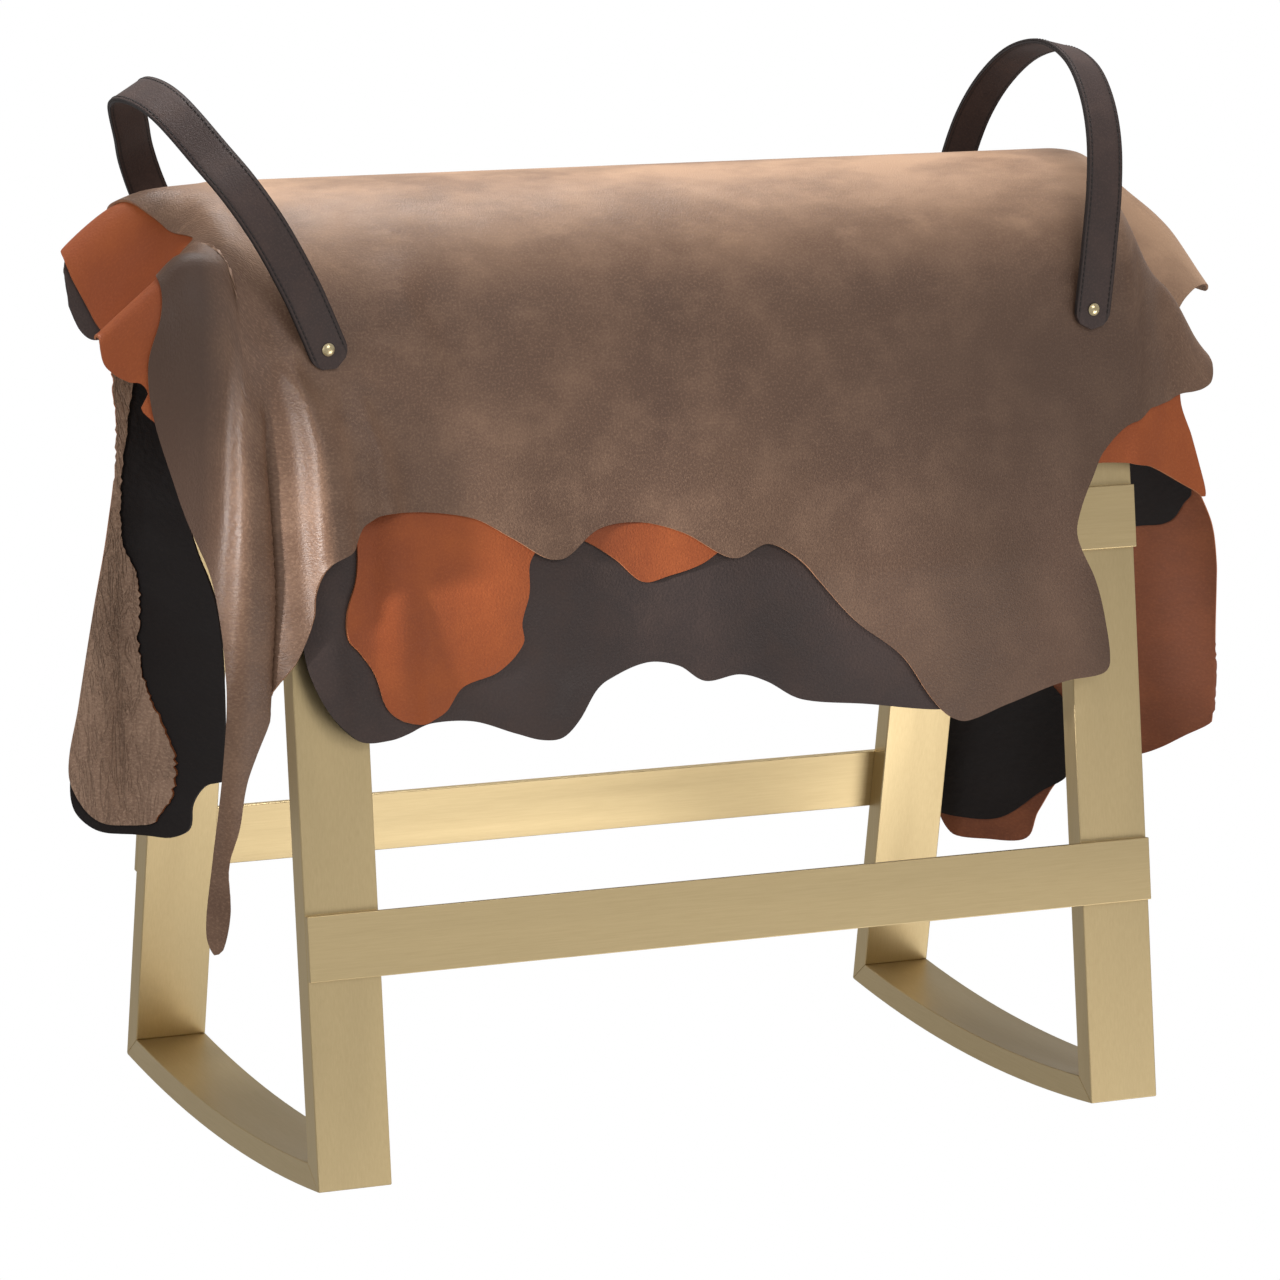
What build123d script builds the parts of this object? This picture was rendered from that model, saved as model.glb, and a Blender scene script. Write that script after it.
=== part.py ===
"""Rocking stool: two rocking end frames of rectangular tube joined by flat-bar rails,
a barrel seat under four draped hides, and two strap handles that swing on rivets.

X runs along the seat, the front is -Y, and the rockers touch the floor at z = 0.
"""

import os
from math import asin, cos, degrees, hypot, radians, sin, sqrt, tan

from build123d import *

os.makedirs("parts", exist_ok=True)

# Driving sizes in millimetres and degrees

# End frames
frame_length = 726
frame_height = 747
foot_half_depth = 213
leg_splay = 8.5
rocker_radius = 1650
tube_width = 60
tube_depth = 20
tube_wall = 2
arch_tail = 60

# Rails of flat bar
bar_width = 50
bar_thickness = 5
lower_rail_centre = 197
upper_rail_drop = 166.7

# Seat
pad_thickness = 15
board_thickness = 12
seat_tail = 30
seat_end_gap = 0.3
tab_width = 30
tab_length = 32
tab_thickness = 4
tab_angle = 48
tab_gap = 0.1
screw_radius = 2
screw_length = 9
screw_head_radius = 4
screw_head_height = 2.4
screw_clearance = 0.1

# Hides
hide_count = 4
hide_thickness = 2
layer_gap = 0.3
fold_depth = 16
blank_bottom = 120
left_overhang = 127
right_overhang = 175

# Handles
strap_width = 31
strap_ply = 2
strap_gap = 0.4
strap_end_flat = 0.5
left_lean_angle = 28.2
left_loop_height = 213
left_crown_share = 0.8
left_straight_share = 0.23
right_lean_angle = 9.3
right_loop_height = 200
right_crown_share = 0.914
right_straight_share = 0.75
rivet_inset = 36
rivet_radius = 2.5
rivet_cap_radius = 5
rivet_cap_height = 2
rivet_cap_gap = 0.1
rivet_running_gap = 0.05
rivet_hide_gap = 0.4
rivet_bulb_radius = 3.6
rivet_bulb_length = 4
rivet_bulb_gap = 0.8

overrun = 5

# Places worked out from the driving sizes
half_length = frame_length / 2
splay_sin = sin(radians(leg_splay))
splay_cos = cos(radians(leg_splay))
splay_tan = tan(radians(leg_splay))
foot_height = rocker_radius - sqrt(rocker_radius**2 - foot_half_depth**2)
arch_centre = (
    frame_height - foot_half_depth * splay_cos - foot_height * splay_sin
) / (1 - splay_sin)
arch_radius = frame_height - arch_centre
tangent_y = arch_radius * splay_cos
tangent_z = arch_centre + arch_radius * splay_sin
tangent_run = (foot_half_depth - tangent_y) * splay_sin + (tangent_z - foot_height) * splay_cos
leg_run = tangent_run - arch_tail
upper_rail_centre = tangent_z - upper_rail_drop
rivet_x = half_length - rivet_inset
ALONG_Y = (90, 0, 0)


def leg_point(run, depth):
    """Point in the YZ plane on the back leg: run up from the foot, depth in from the outer face."""
    return (
        foot_half_depth - run * splay_sin - depth * splay_cos,
        foot_height + run * splay_cos - depth * splay_sin,
    )


def mitre_run(depth):
    """Run at which the line at this depth in the leg meets the same depth in the rocker."""
    y, z = leg_point(0, depth)
    rise = z - rocker_radius
    turn = rise * splay_cos - y * splay_sin
    return -turn - sqrt(turn**2 - (y**2 + rise**2 - (rocker_radius - depth) ** 2))


def leg_face(z, outward=0):
    """Depth in Y of the plane this far outside the outer face of the legs, at height z."""
    return foot_half_depth - (z - foot_height) * splay_tan + outward / splay_cos


def across(point):
    """The same point on the other side of the stool."""
    return (-point[0], point[1])


def leg_outline(outer, inner):
    Polyline(
        leg_point(mitre_run(outer), outer),
        leg_point(leg_run, outer),
        leg_point(leg_run, inner),
        leg_point(mitre_run(inner), inner),
        close=True,
    )


def rocker_outline(outer, inner):
    corner = leg_point(mitre_run(outer), outer)
    inside = leg_point(mitre_run(inner), inner)
    ThreePointArc(corner, (0, outer), across(corner))
    Line(across(corner), across(inside))
    ThreePointArc(across(inside), (0, inner), inside)
    Line(inside, corner)


def arch_outline(outer, inner, tail):
    """Arch between two depths, with straight tails that carry on the line of the legs."""
    foot = [leg_point(tangent_run - tail, depth) for depth in (outer, inner)]
    spring = [leg_point(tangent_run, depth) for depth in (outer, inner)]
    Line(foot[0], spring[0])
    ThreePointArc(spring[0], (0, frame_height - outer), across(spring[0]))
    Line(across(spring[0]), across(foot[0]))
    Line(across(foot[0]), across(foot[1]))
    Line(across(foot[1]), across(spring[1]))
    ThreePointArc(across(spring[1]), (0, frame_height - inner), spring[1])
    Line(spring[1], foot[1])
    Line(foot[1], foot[0])


def rivet_places(sign):
    """Where the rivets of one end cross the outer face, front and back."""
    return [(sign * rivet_x, front * tangent_y, tangent_z) for front in (-1, 1)]


def finish(part, name):
    part.part.label = name
    export_step(part.part, f"parts/{name}.step")


# Tubes of the two end frames

end_middle = half_length - tube_width / 2
bore_width = tube_width - 2 * tube_wall
bore_depth = tube_depth - tube_wall

for side, sign in (("left", -1), ("right", 1)):
    end_plane = Plane.YZ.offset(sign * end_middle)

    with BuildPart() as back_leg:
        with BuildSketch(end_plane):
            with BuildLine():
                leg_outline(0, tube_depth)
            make_face()
        extrude(amount=tube_width / 2, both=True)
        with BuildSketch(end_plane):
            with BuildLine():
                leg_outline(tube_wall, bore_depth)
            make_face()
        extrude(amount=bore_width / 2, both=True, mode=Mode.SUBTRACT)
    finish(back_leg, f"back_{side}_leg")

    with BuildPart() as front_leg:
        add(mirror(back_leg.part, about=Plane.XZ))
    finish(front_leg, f"front_{side}_leg")

    with BuildPart() as rocker:
        with BuildSketch(end_plane):
            with BuildLine():
                rocker_outline(0, tube_depth)
            make_face()
        extrude(amount=tube_width / 2, both=True)
        with BuildSketch(end_plane):
            with BuildLine():
                rocker_outline(tube_wall, bore_depth)
            make_face()
        extrude(amount=bore_width / 2, both=True, mode=Mode.SUBTRACT)
    finish(rocker, f"{side}_rocker")

    with BuildPart() as arch:
        with BuildSketch(end_plane):
            with BuildLine():
                arch_outline(0, tube_depth, arch_tail)
            make_face()
        extrude(amount=tube_width / 2, both=True)
        with BuildSketch(end_plane):
            with BuildLine():
                arch_outline(tube_wall, bore_depth, arch_tail)
            make_face()
        extrude(amount=bore_width / 2, both=True, mode=Mode.SUBTRACT)
        # Holes in the outer wall for the handle rivets
        with Locations(*rivet_places(sign)):
            Cylinder(rivet_radius + rivet_running_gap, tube_depth, rotation=ALONG_Y, mode=Mode.SUBTRACT)
    finish(arch, f"{side}_arch")

# Rails of flat bar, lapped over the outer faces of the legs

for level, centre in (("lower", lower_rail_centre), ("upper", upper_rail_centre)):
    rail_run = (centre - foot_height) / splay_cos
    with BuildPart() as back_rail:
        with BuildSketch(Plane.YZ):
            with BuildLine():
                Polyline(
                    leg_point(rail_run - bar_width / 2, 0),
                    leg_point(rail_run + bar_width / 2, 0),
                    leg_point(rail_run + bar_width / 2, -bar_thickness),
                    leg_point(rail_run - bar_width / 2, -bar_thickness),
                    close=True,
                )
            make_face()
        extrude(amount=half_length, both=True)
    finish(back_rail, f"back_{level}_rail")
    with BuildPart() as front_rail:
        add(mirror(back_rail.part, about=Plane.XZ))
    finish(front_rail, f"front_{level}_rail")

# Seat board and pad between the arches

seat_half = half_length - tube_width - seat_end_gap
board_outer = pad_thickness
board_inner = pad_thickness + board_thickness
board_under = arch_radius - board_inner
tab_reach = sqrt(board_under**2 - (tab_width / 2) ** 2) - tab_gap
tab_middle = half_length - tube_width - tab_length / 2


def tab_plane(sign, turn, height):
    """Plane on a tab's outer face, facing out along the arch's radius."""
    outward = Vector(0, sin(radians(turn)), cos(radians(turn)))
    centre = Vector(sign * tab_middle, 0, arch_centre) + outward * (tab_reach + height)
    return Plane(origin=centre, x_dir=(1, 0, 0), z_dir=outward)


tab_planes = [(sign, turn) for sign in (-1, 1) for turn in (-tab_angle, tab_angle)]

with BuildPart() as seat_pad:
    with BuildSketch(Plane.YZ):
        with BuildLine():
            arch_outline(0, board_outer, seat_tail)
        make_face()
    extrude(amount=seat_half, both=True)
finish(seat_pad, "seat_pad")

with BuildPart() as seat_board:
    with BuildSketch(Plane.YZ):
        with BuildLine():
            arch_outline(board_outer, board_inner, seat_tail)
        make_face()
    extrude(amount=seat_half, both=True)
    for sign, turn in tab_planes:
        with BuildSketch(tab_plane(sign, turn, -tab_thickness)):
            Circle(screw_radius + screw_clearance)
        extrude(amount=screw_length + screw_clearance, mode=Mode.SUBTRACT)
finish(seat_board, "seat_board")

with BuildPart() as seat_tabs:
    for sign, turn in tab_planes:
        with BuildSketch(tab_plane(sign, turn, 0)):
            Rectangle(tab_length, tab_width)
            Circle(screw_radius + screw_clearance, mode=Mode.SUBTRACT)
        extrude(amount=-tab_thickness)
finish(seat_tabs, "seat_tabs")

with BuildPart() as seat_screws:
    for sign, turn in tab_planes:
        with BuildSketch(tab_plane(sign, turn, -tab_thickness)):
            Circle(screw_radius)
        extrude(amount=screw_length)
        with BuildSketch(tab_plane(sign, turn, -tab_thickness)):
            Circle(screw_head_radius)
        extrude(amount=-screw_head_height)
finish(seat_screws, "seat_screws")

# Hides. One draped blank, ruled through cross-sections along X, is the same for all four:
# each lies one layer further out and is then cut to its own outline, front and back.

rail_half_height = bar_width / 2 * splay_cos
rail_top = upper_rail_centre + rail_half_height
rail_bottom = upper_rail_centre - rail_half_height
rail_clearance = bar_thickness + layer_gap
half_turn_share = sin(radians(45))

# Folds of the drape between the ends: place along X in half lengths, outward swell at the
# hem in fold depths, and how much the hem follows the legs' slope (1) or hangs plumb (0).
front_fold_shares = [
    (-1, 0, 1),
    (-0.965, 0.55, 1),
    (-0.925, 0.85, 1),
    (-0.88, 0.2, 1),
    (-0.83, 0, 1),
    (-0.77, 0.7, 0.7),
    (-0.70, 0.1, 0.3),
    (-0.5, 0.35, 0),
    (-0.28, 0, 0),
    (0, 0.3, 0),
    (0.3, 0, 0),
    (0.55, 0.35, 0),
    (0.8, 0, 0.8),
    (1, 0, 1),
]
back_fold_shares = [
    (-1, 0, 1),
    (-0.965, 0.2, 1),
    (-0.925, 0.3, 1),
    (-0.88, 0.2, 1),
    (-0.83, 0, 1),
    (-0.77, 0.4, 0.7),
    (-0.70, 0, 0.3),
    (-0.5, 0.5, 0),
    (-0.28, 0, 0),
    (0, 0.4, 0),
    (0.3, 0, 0),
    (0.55, 0.5, 0),
    (0.8, 0, 0.8),
    (1, 0, 1),
]

# Cross-sections past the ends, where the hides hang free. The first value is the place
# along the overhang in shares of it. The points follow in shares of the arch's radius,
# from its centre: crown, front middle and ridge, front rail top, rail bottom and hem in Y,
# then back middle and ridge, back rail top, rail bottom and hem in Y.
left_end_shares = [
    (1, (0, 0.62), (-0.40, 0.06), (-0.72, 0.10), (-0.77, -0.77, -0.77),
     (0.38, 0.28), (0.58, -0.12), (0.54, 0.54, 0.54)),
    (0.6, (0, 0.92), (-0.39, 0.47), (-0.71, 0.54), (-0.96, -0.98, -1.0),
     (0.52, 0.52), (0.73, 0.11), (0.42, 0.38, 0.38)),
    (0.44, (0, 0.97), (-0.38, 0.61), (-0.69, 0.66), (-1.04, -1.08, -1.11),
     (0.55, 0.60), (0.77, 0.15), (0.36, 0.32, 0.32)),
    (0.29, (0, 0.985), (-0.38, 0.74), (-0.67, 0.74), (-1.10, -1.16, -1.19),
     (0.60, 0.66), (0.80, 0.19), (0.30, 0.27, 0.27)),
    (0.09, (0, 0.995), (-0.58, 0.77), (-0.88, 0.40), (-1.13, -1.17, -1.26),
     (0.66, 0.70), (0.83, 0.22), (0.20, 0.17, 0.17)),
]
right_end_shares = [
    (0.08, (0.02, 0.985), (-0.60, 0.72), (-0.90, 0.37), (-1.17, -1.23, -1.45),
     (0.64, 0.68), (0.95, 0.21), (1.15, 1.22, 1.52)),
    (0.24, (0.07, 0.86), (-0.38, 0.52), (-0.79, 0.50), (-1.12, -1.17, -1.25),
     (0.55, 0.60), (0.88, 0.22), (1.07, 1.12, 1.25)),
    (0.42, (0.12, 0.68), (-0.30, 0.21), (-0.81, -0.04), (-1.04, -1.08, -1.10),
     (0.52, 0.40), (0.80, 0.05), (0.92, 0.95, 1.0)),
    (0.61, (0.13, 0.46), (-0.33, -0.12), (-0.87, -0.50), (-0.96, -0.96, -0.96),
     (0.42, 0.20), (0.62, -0.12), (0.66, 0.66, 0.66)),
    (0.8, (0.13, 0.10), (-0.34, -0.45), (-0.87, -0.82), (-0.90, -0.90, -0.90),
     (0.33, -0.08), (0.46, -0.30), (0.42, 0.42, 0.42)),
    (1, (0.08, -0.28), (-0.36, -0.70), (-0.80, -0.87), (-0.86, -0.86, -0.86),
     (0.16, -0.42), (0.18, -0.58), (0.12, 0.12, 0.12)),
]


def core_side(sign, swell, follow):
    """Middle, spring, rail top, rail bottom and hem of one side, each with its outward way."""
    bulge = swell * fold_depth
    hem_face = follow * leg_face(blank_bottom) + (1 - follow) * leg_face(rail_bottom)
    level = (sign / splay_cos, 0)
    diagonal = half_turn_share * arch_radius
    return [
        ((sign * diagonal, arch_centre + diagonal), (sign * half_turn_share, half_turn_share)),
        ((sign * tangent_y, tangent_z), (sign * splay_cos, splay_sin)),
        ((sign * leg_face(rail_top, rail_clearance), rail_top), level),
        ((sign * (leg_face(rail_bottom, rail_clearance) + bulge / 2), rail_bottom), level),
        ((sign * (hem_face + rail_clearance + bulge), blank_bottom), level),
    ]


def core_section(front, back):
    """Points and outward ways of a section between the ends, front hem to back hem."""
    crown = ((0, frame_height), (0, 1))
    return core_side(-1, *front)[::-1] + [crown] + core_side(1, *back)


def end_section(crown, front_middle, front_ridge, front_falls, back_middle, back_ridge, back_falls):
    """The same points past the ends, with ways that keep a sheet's two faces parallel."""
    bends = [
        (y * arch_radius, arch_centre + z * arch_radius)
        for y, z in (front_ridge, front_middle, crown, back_middle, back_ridge)
    ]
    heights = (rail_top, rail_bottom, blank_bottom)
    front_fall = [(y * arch_radius, z) for y, z in zip(front_falls, heights)][::-1]
    back_fall = [(y * arch_radius, z) for y, z in zip(back_falls, heights)]
    points = front_fall + bends + back_fall
    facings = []
    for (y, z), (next_y, next_z) in zip(points, points[1:]):
        length = hypot(next_y - y, next_z - z)
        facings.append(((z - next_z) / length, (next_y - y) / length))
    ways = []
    for (y, z), (next_y, next_z) in zip(facings[:1] + facings, facings + facings[-1:]):
        spread = 1 + y * next_y + z * next_z
        ways.append(((y + next_y) / spread, (z + next_z) / spread))
    return list(zip(points, ways))


def blank_sections():
    """Place along X, section and whether its top is round, from left to right."""
    left = [(-half_length - row[0] * left_overhang, row) for row in left_end_shares]
    right = [(half_length + row[0] * right_overhang, row) for row in right_end_shares]
    core = [
        (front[0] * half_length, core_section(front[1:], back[1:]), True)
        for front, back in zip(front_fold_shares, back_fold_shares)
    ]
    left_end = [(x, end_section(*row[1:]), False) for x, row in left]
    right_end = [(x, end_section(*row[1:]), False) for x, row in right]
    return left_end + core + right_end


def sheet_face(x, section, rounded, layer_depth):
    """Cross-section of a sheet whose inner face lies this far outside the arches."""
    edges = []
    ends = []
    with BuildLine(Plane.YZ.offset(x)):
        for depth in (layer_depth, layer_depth + hide_thickness):
            rim = [(y + way_y * depth, z + way_z * depth) for (y, z), (way_y, way_z) in section]
            bends = rim[len(section) // 2 - 2 : len(section) // 2 + 2] if rounded else []
            for first, second in zip(rim, rim[1:]):
                if first in bends:
                    edges.append(RadiusArc(first, second, arch_radius + depth))
                else:
                    edges.append(Line(first, second))
            ends.append((rim[0], rim[-1]))
        edges += [Line(first, second) for first, second in zip(*ends)]
    return Face(Wire.combine(edges)[0])


stack_depth = hide_count * (hide_thickness + layer_gap)
blank_top = frame_height + stack_depth + overrun
blank_reach = leg_face(blank_bottom) + tube_width


def cutter(front_shares, back_shares):
    """Solid that a blank keeps: everything inside the front and the back outline."""
    with BuildPart() as kept:
        for shares, depth in ((front_shares, blank_reach), (back_shares, -blank_reach)):
            points = [(x * half_length, z * frame_height) for x, z in shares]
            with BuildSketch(Plane.XZ):
                with BuildLine():
                    Polyline((points[0][0], blank_top), *points, (points[-1][0], blank_top), close=True)
                make_face()
            extrude(amount=depth)
    return kept.part


def hide(name, layer, front_shares, back_shares):
    layer_depth = layer_gap + layer * (hide_thickness + layer_gap)
    faces = [sheet_face(*placed_section, layer_depth) for placed_section in blank_sections()]
    with BuildPart() as sheet:
        loft(faces, ruled=True)
        add(cutter(front_shares, back_shares), mode=Mode.INTERSECT)
        with Locations(*rivet_places(-1), *rivet_places(1)):
            Cylinder(rivet_radius + rivet_hide_gap, 2 * tube_depth, rotation=ALONG_Y, mode=Mode.SUBTRACT)
    finish(sheet, name)


# Outlines, in shares of the half length and of the frame's height, from the left along the
# hem to the right. A narrow slit past the left end lets the back flaps swing in.
top_front_shares = [
    (-1.18, 0.98), (-1.23, 0.90), (-1.26, 0.83), (-1.21, 0.72), (-1.12, 0.53), (-1.14, 0.26),
    (-1.11, 0.25), (-1.10, 0.34), (-1.07, 0.44), (-0.94, 0.56), (-0.85, 0.68), (-0.76, 0.695),
    (-0.60, 0.69), (-0.43, 0.64), (-0.31, 0.665), (-0.21, 0.67), (0, 0.625), (0.14, 0.63),
    (0.29, 0.555), (0.48, 0.465), (0.56, 0.44), (0.66, 0.45), (0.89, 0.48), (0.87, 0.58),
    (0.835, 0.625), (0.915, 0.71), (1.03, 0.755), (1.20, 0.77), (1.245, 0.80), (1.21, 0.92),
]
top_back_shares = [
    (-1.18, 0.98), (-1.19, 0.87), (-1.10, 0.80), (-1.035, 0.77), (-1.035, 0.875), (-0.995, 0.875),
    (-0.995, 0.72), (-0.90, 0.62), (-0.66, 0.575), (-0.33, 0.67), (0, 0.59), (0.20, 0.58),
    (0.55, 0.685), (0.88, 0.59), (1.02, 0.63), (1.13, 0.72), (1.27, 0.79), (1.42, 0.835),
    (1.435, 0.87),
]
orange_front_shares = [
    (-1.345, 0.92), (-1.345, 0.87), (-1.295, 0.835), (-1.245, 0.825), (-1.21, 0.78), (-1.10, 0.75),
    (-0.965, 0.695), (-0.865, 0.68), (-0.855, 0.65), (-0.89, 0.585), (-0.83, 0.535), (-0.80, 0.495),
    (-0.73, 0.48), (-0.665, 0.49), (-0.63, 0.515), (-0.55, 0.53), (-0.495, 0.56), (-0.475, 0.64),
    (-0.415, 0.665), (-0.27, 0.635), (-0.18, 0.61), (-0.08, 0.62), (0.03, 0.67), (0.165, 0.70),
    (0.55, 0.64), (0.855, 0.70), (1.025, 0.69), (1.205, 0.645), (1.23, 0.67), (1.23, 0.75),
    (1.225, 0.855),
]
orange_back_shares = [
    (-1.345, 0.92), (-1.345, 0.865), (-1.28, 0.815), (-1.17, 0.79), (-1.035, 0.80), (-1.035, 0.875),
    (-0.995, 0.875), (-0.995, 0.70), (-0.93, 0.60), (-0.82, 0.55), (-0.66, 0.54), (-0.39, 0.63),
    (0, 0.54), (0.17, 0.51), (0.50, 0.58), (0.66, 0.54), (0.80, 0.44), (0.95, 0.34),
    (1.035, 0.19), (1.17, 0.19), (1.22, 0.27), (1.37, 0.295), (1.46, 0.345), (1.48, 0.38),
    (1.455, 0.44), (1.42, 0.60), (1.40, 0.65), (1.42, 0.83),
]
dark_front_shares = [
    (-0.995, 0.87), (-0.99, 0.60), (-0.975, 0.535), (-0.92, 0.49), (-0.86, 0.465), (-0.74, 0.48),
    (-0.61, 0.48), (-0.50, 0.46), (-0.39, 0.45), (-0.31, 0.50), (-0.19, 0.525), (-0.07, 0.50),
    (0.08, 0.495), (0.17, 0.475), (0.54, 0.45), (0.66, 0.47), (0.75, 0.50), (0.82, 0.56),
    (0.83, 0.70), (0.91, 0.775), (0.995, 0.83),
]
dark_back_shares = [
    (-1.21, 0.935), (-1.20, 0.80), (-1.17, 0.745), (-1.215, 0.565), (-1.27, 0.39), (-1.255, 0.345),
    (-1.21, 0.325), (-1.10, 0.315), (-1.045, 0.32), (-1.035, 0.36), (-1.035, 0.875), (-0.995, 0.875),
    (-0.995, 0.65), (-0.90, 0.57), (-0.70, 0.535), (-0.28, 0.59), (0, 0.54), (0.22, 0.50),
    (0.63, 0.56), (0.80, 0.48), (0.91, 0.39), (0.985, 0.35), (0.98, 0.22), (1.06, 0.21),
    (1.15, 0.23), (1.235, 0.275), (1.225, 0.35), (1.185, 0.39), (1.235, 0.555), (1.35, 0.58),
    (1.375, 0.64), (1.375, 0.855),
]
inner_front_shares = [
    (-0.995, 0.87), (-0.98, 0.67), (-0.83, 0.575), (-0.44, 0.53), (-0.20, 0.575), (0.10, 0.555),
    (0.33, 0.525), (0.70, 0.575), (0.80, 0.695), (0.91, 0.80), (0.995, 0.855),
]
inner_back_shares = [
    (-1.20, 0.935), (-1.19, 0.80), (-1.16, 0.745), (-1.205, 0.565), (-1.26, 0.39), (-1.24, 0.35),
    (-1.11, 0.325), (-1.07, 0.37), (-1.065, 0.41), (-1.125, 0.50), (-1.135, 0.60), (-1.16, 0.635),
    (-1.15, 0.70), (-1.115, 0.775), (-1.035, 0.855), (-1.035, 0.875), (-0.995, 0.875), (-0.995, 0.67),
    (-0.83, 0.59), (-0.60, 0.575), (-0.20, 0.615), (0.22, 0.56), (0.66, 0.63), (0.95, 0.575),
    (0.995, 0.66), (0.995, 0.855),
]

hide("inner_brown_hide", 0, inner_front_shares, inner_back_shares)
hide("dark_hide", 1, dark_front_shares, dark_back_shares)
hide("orange_hide", 2, orange_front_shares, orange_back_shares)
hide("top_hide", 3, top_front_shares, top_back_shares)

# Handles. Each is a strap of two plies bent in one loop that leans about the line of its
# two rivets: straight at the rivets, then a side arc and a crown arc tangent to each other.

strap_foot = tangent_z - strap_width / 2
rail_rise_share = (tangent_z - strap_foot) / (tangent_z - rail_top)
hides_at_foot = leg_face(strap_foot, stack_depth + rail_rise_share * rail_clearance)
strap_inner = hides_at_foot + strap_gap
cap_seat = strap_inner + 2 * strap_ply + rivet_cap_gap


def loop_side(outward, height, crown_share, straight_share):
    """End of the straight, middle of the side arc and its end, for one offset of the loop."""
    half_span = strap_inner + outward
    top = height + outward
    crown = crown_share * strap_inner + outward
    straight = straight_share * (top - crown)
    rise = top - crown - straight
    side_radius = (half_span**2 + rise**2 - crown**2) / (2 * (half_span - crown))
    centre_y = half_span - side_radius
    turn = degrees(asin(rise / (side_radius - crown)))
    arc = [
        (
            centre_y + side_radius * cos(radians(angle)),
            straight + side_radius * sin(radians(angle)),
        )
        for angle in (0, turn / 2, turn)
    ]
    return arc, top


def loop_outline(inner, outer, height, crown_share, straight_share):
    below = -strap_width / 2
    for outward in (inner, outer):
        arc, top = loop_side(outward, height, crown_share, straight_share)
        Line((arc[0][0], below), arc[0])
        ThreePointArc(*arc)
        ThreePointArc(arc[2], (0, top), across(arc[2]))
        ThreePointArc(*[across(point) for point in arc])
        Line(across(arc[0]), (-arc[0][0], below))
    for sign in (-1, 1):
        Line((sign * (strap_inner + inner), below), (sign * (strap_inner + outer), below))


def handle(side, sign, lean_angle, height, crown_share, straight_share):
    pivot = (sign * rivet_x, 0, tangent_z)
    loop_plane = Plane(
        origin=pivot,
        x_dir=(0, 1, 0),
        z_dir=(cos(radians(lean_angle)), 0, -sign * sin(radians(lean_angle))),
    )
    for name, inner, outer in (("lining", 0, strap_ply), ("strap", strap_ply, 2 * strap_ply)):
        with BuildPart() as ply:
            with BuildSketch(loop_plane):
                with BuildLine():
                    loop_outline(inner, outer, height, crown_share, straight_share)
                make_face()
            extrude(amount=strap_width / 2, both=True)
            fillet(ply.edges().filter_by(Axis.Y), strap_width / 2 - strap_end_flat)
            with Locations(pivot):
                Cylinder(
                    rivet_radius + rivet_running_gap,
                    2 * (cap_seat + overrun),
                    rotation=ALONG_Y,
                    mode=Mode.SUBTRACT,
                )
        finish(ply, f"{side}_handle_{name}")

    with BuildPart() as rivets:
        with BuildSketch(Plane.XY.offset(tangent_z)):
            with BuildLine():
                bulb_face = tangent_y - tube_wall - rivet_bulb_gap
                bulb_end = bulb_face - rivet_bulb_length
                x = sign * rivet_x
                Polyline(
                    (x, cap_seat + rivet_cap_height),
                    (x, bulb_end),
                    (x + rivet_bulb_radius, bulb_end),
                    (x + rivet_bulb_radius, bulb_face),
                    (x + rivet_radius, bulb_face),
                    (x + rivet_radius, cap_seat),
                    (x + rivet_cap_radius, cap_seat),
                )
                TangentArc(
                    (x, cap_seat + rivet_cap_height), (x + rivet_cap_radius, cap_seat), tangent=(1, 0)
                )
            make_face()
        revolve(axis=Axis(pivot, (0, 1, 0)))
        mirror(about=Plane.XZ)
    finish(rivets, f"{side}_handle_rivets")


handle("left", -1, left_lean_angle, left_loop_height, left_crown_share, left_straight_share)
handle("right", 1, right_lean_angle, right_loop_height, right_crown_share, right_straight_share)
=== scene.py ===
from math import cos, pi, radians, sin, sqrt, tan

import bmesh
import bpy
import numpy as np
from mathutils import Matrix, Vector, geometry


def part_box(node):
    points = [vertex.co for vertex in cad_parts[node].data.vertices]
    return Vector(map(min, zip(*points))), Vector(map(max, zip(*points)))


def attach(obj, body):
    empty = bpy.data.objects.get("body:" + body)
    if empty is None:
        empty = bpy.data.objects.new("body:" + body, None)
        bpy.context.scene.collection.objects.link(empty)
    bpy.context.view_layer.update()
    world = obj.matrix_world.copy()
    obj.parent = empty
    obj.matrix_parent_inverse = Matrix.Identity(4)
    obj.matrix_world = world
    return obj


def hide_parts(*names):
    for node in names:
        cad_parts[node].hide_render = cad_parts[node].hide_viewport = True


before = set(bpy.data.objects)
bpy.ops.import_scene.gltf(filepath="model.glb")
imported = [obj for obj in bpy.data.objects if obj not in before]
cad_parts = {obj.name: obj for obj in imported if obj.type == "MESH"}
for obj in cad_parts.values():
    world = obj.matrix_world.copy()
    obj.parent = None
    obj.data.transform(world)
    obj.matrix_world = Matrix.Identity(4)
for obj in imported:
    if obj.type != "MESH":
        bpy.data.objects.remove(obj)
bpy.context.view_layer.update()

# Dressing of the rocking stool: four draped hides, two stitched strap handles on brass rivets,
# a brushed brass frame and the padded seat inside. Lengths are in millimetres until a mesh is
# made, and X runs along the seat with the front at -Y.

bpy.ops.object.select_all(action="DESELECT")

MM = 0.001
rng = np.random.default_rng(7)

# Sizes of the frame that the hides lie on. An arch springs from its legs at the spring height,
# and the upper rail's edges are measured down from there.

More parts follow.
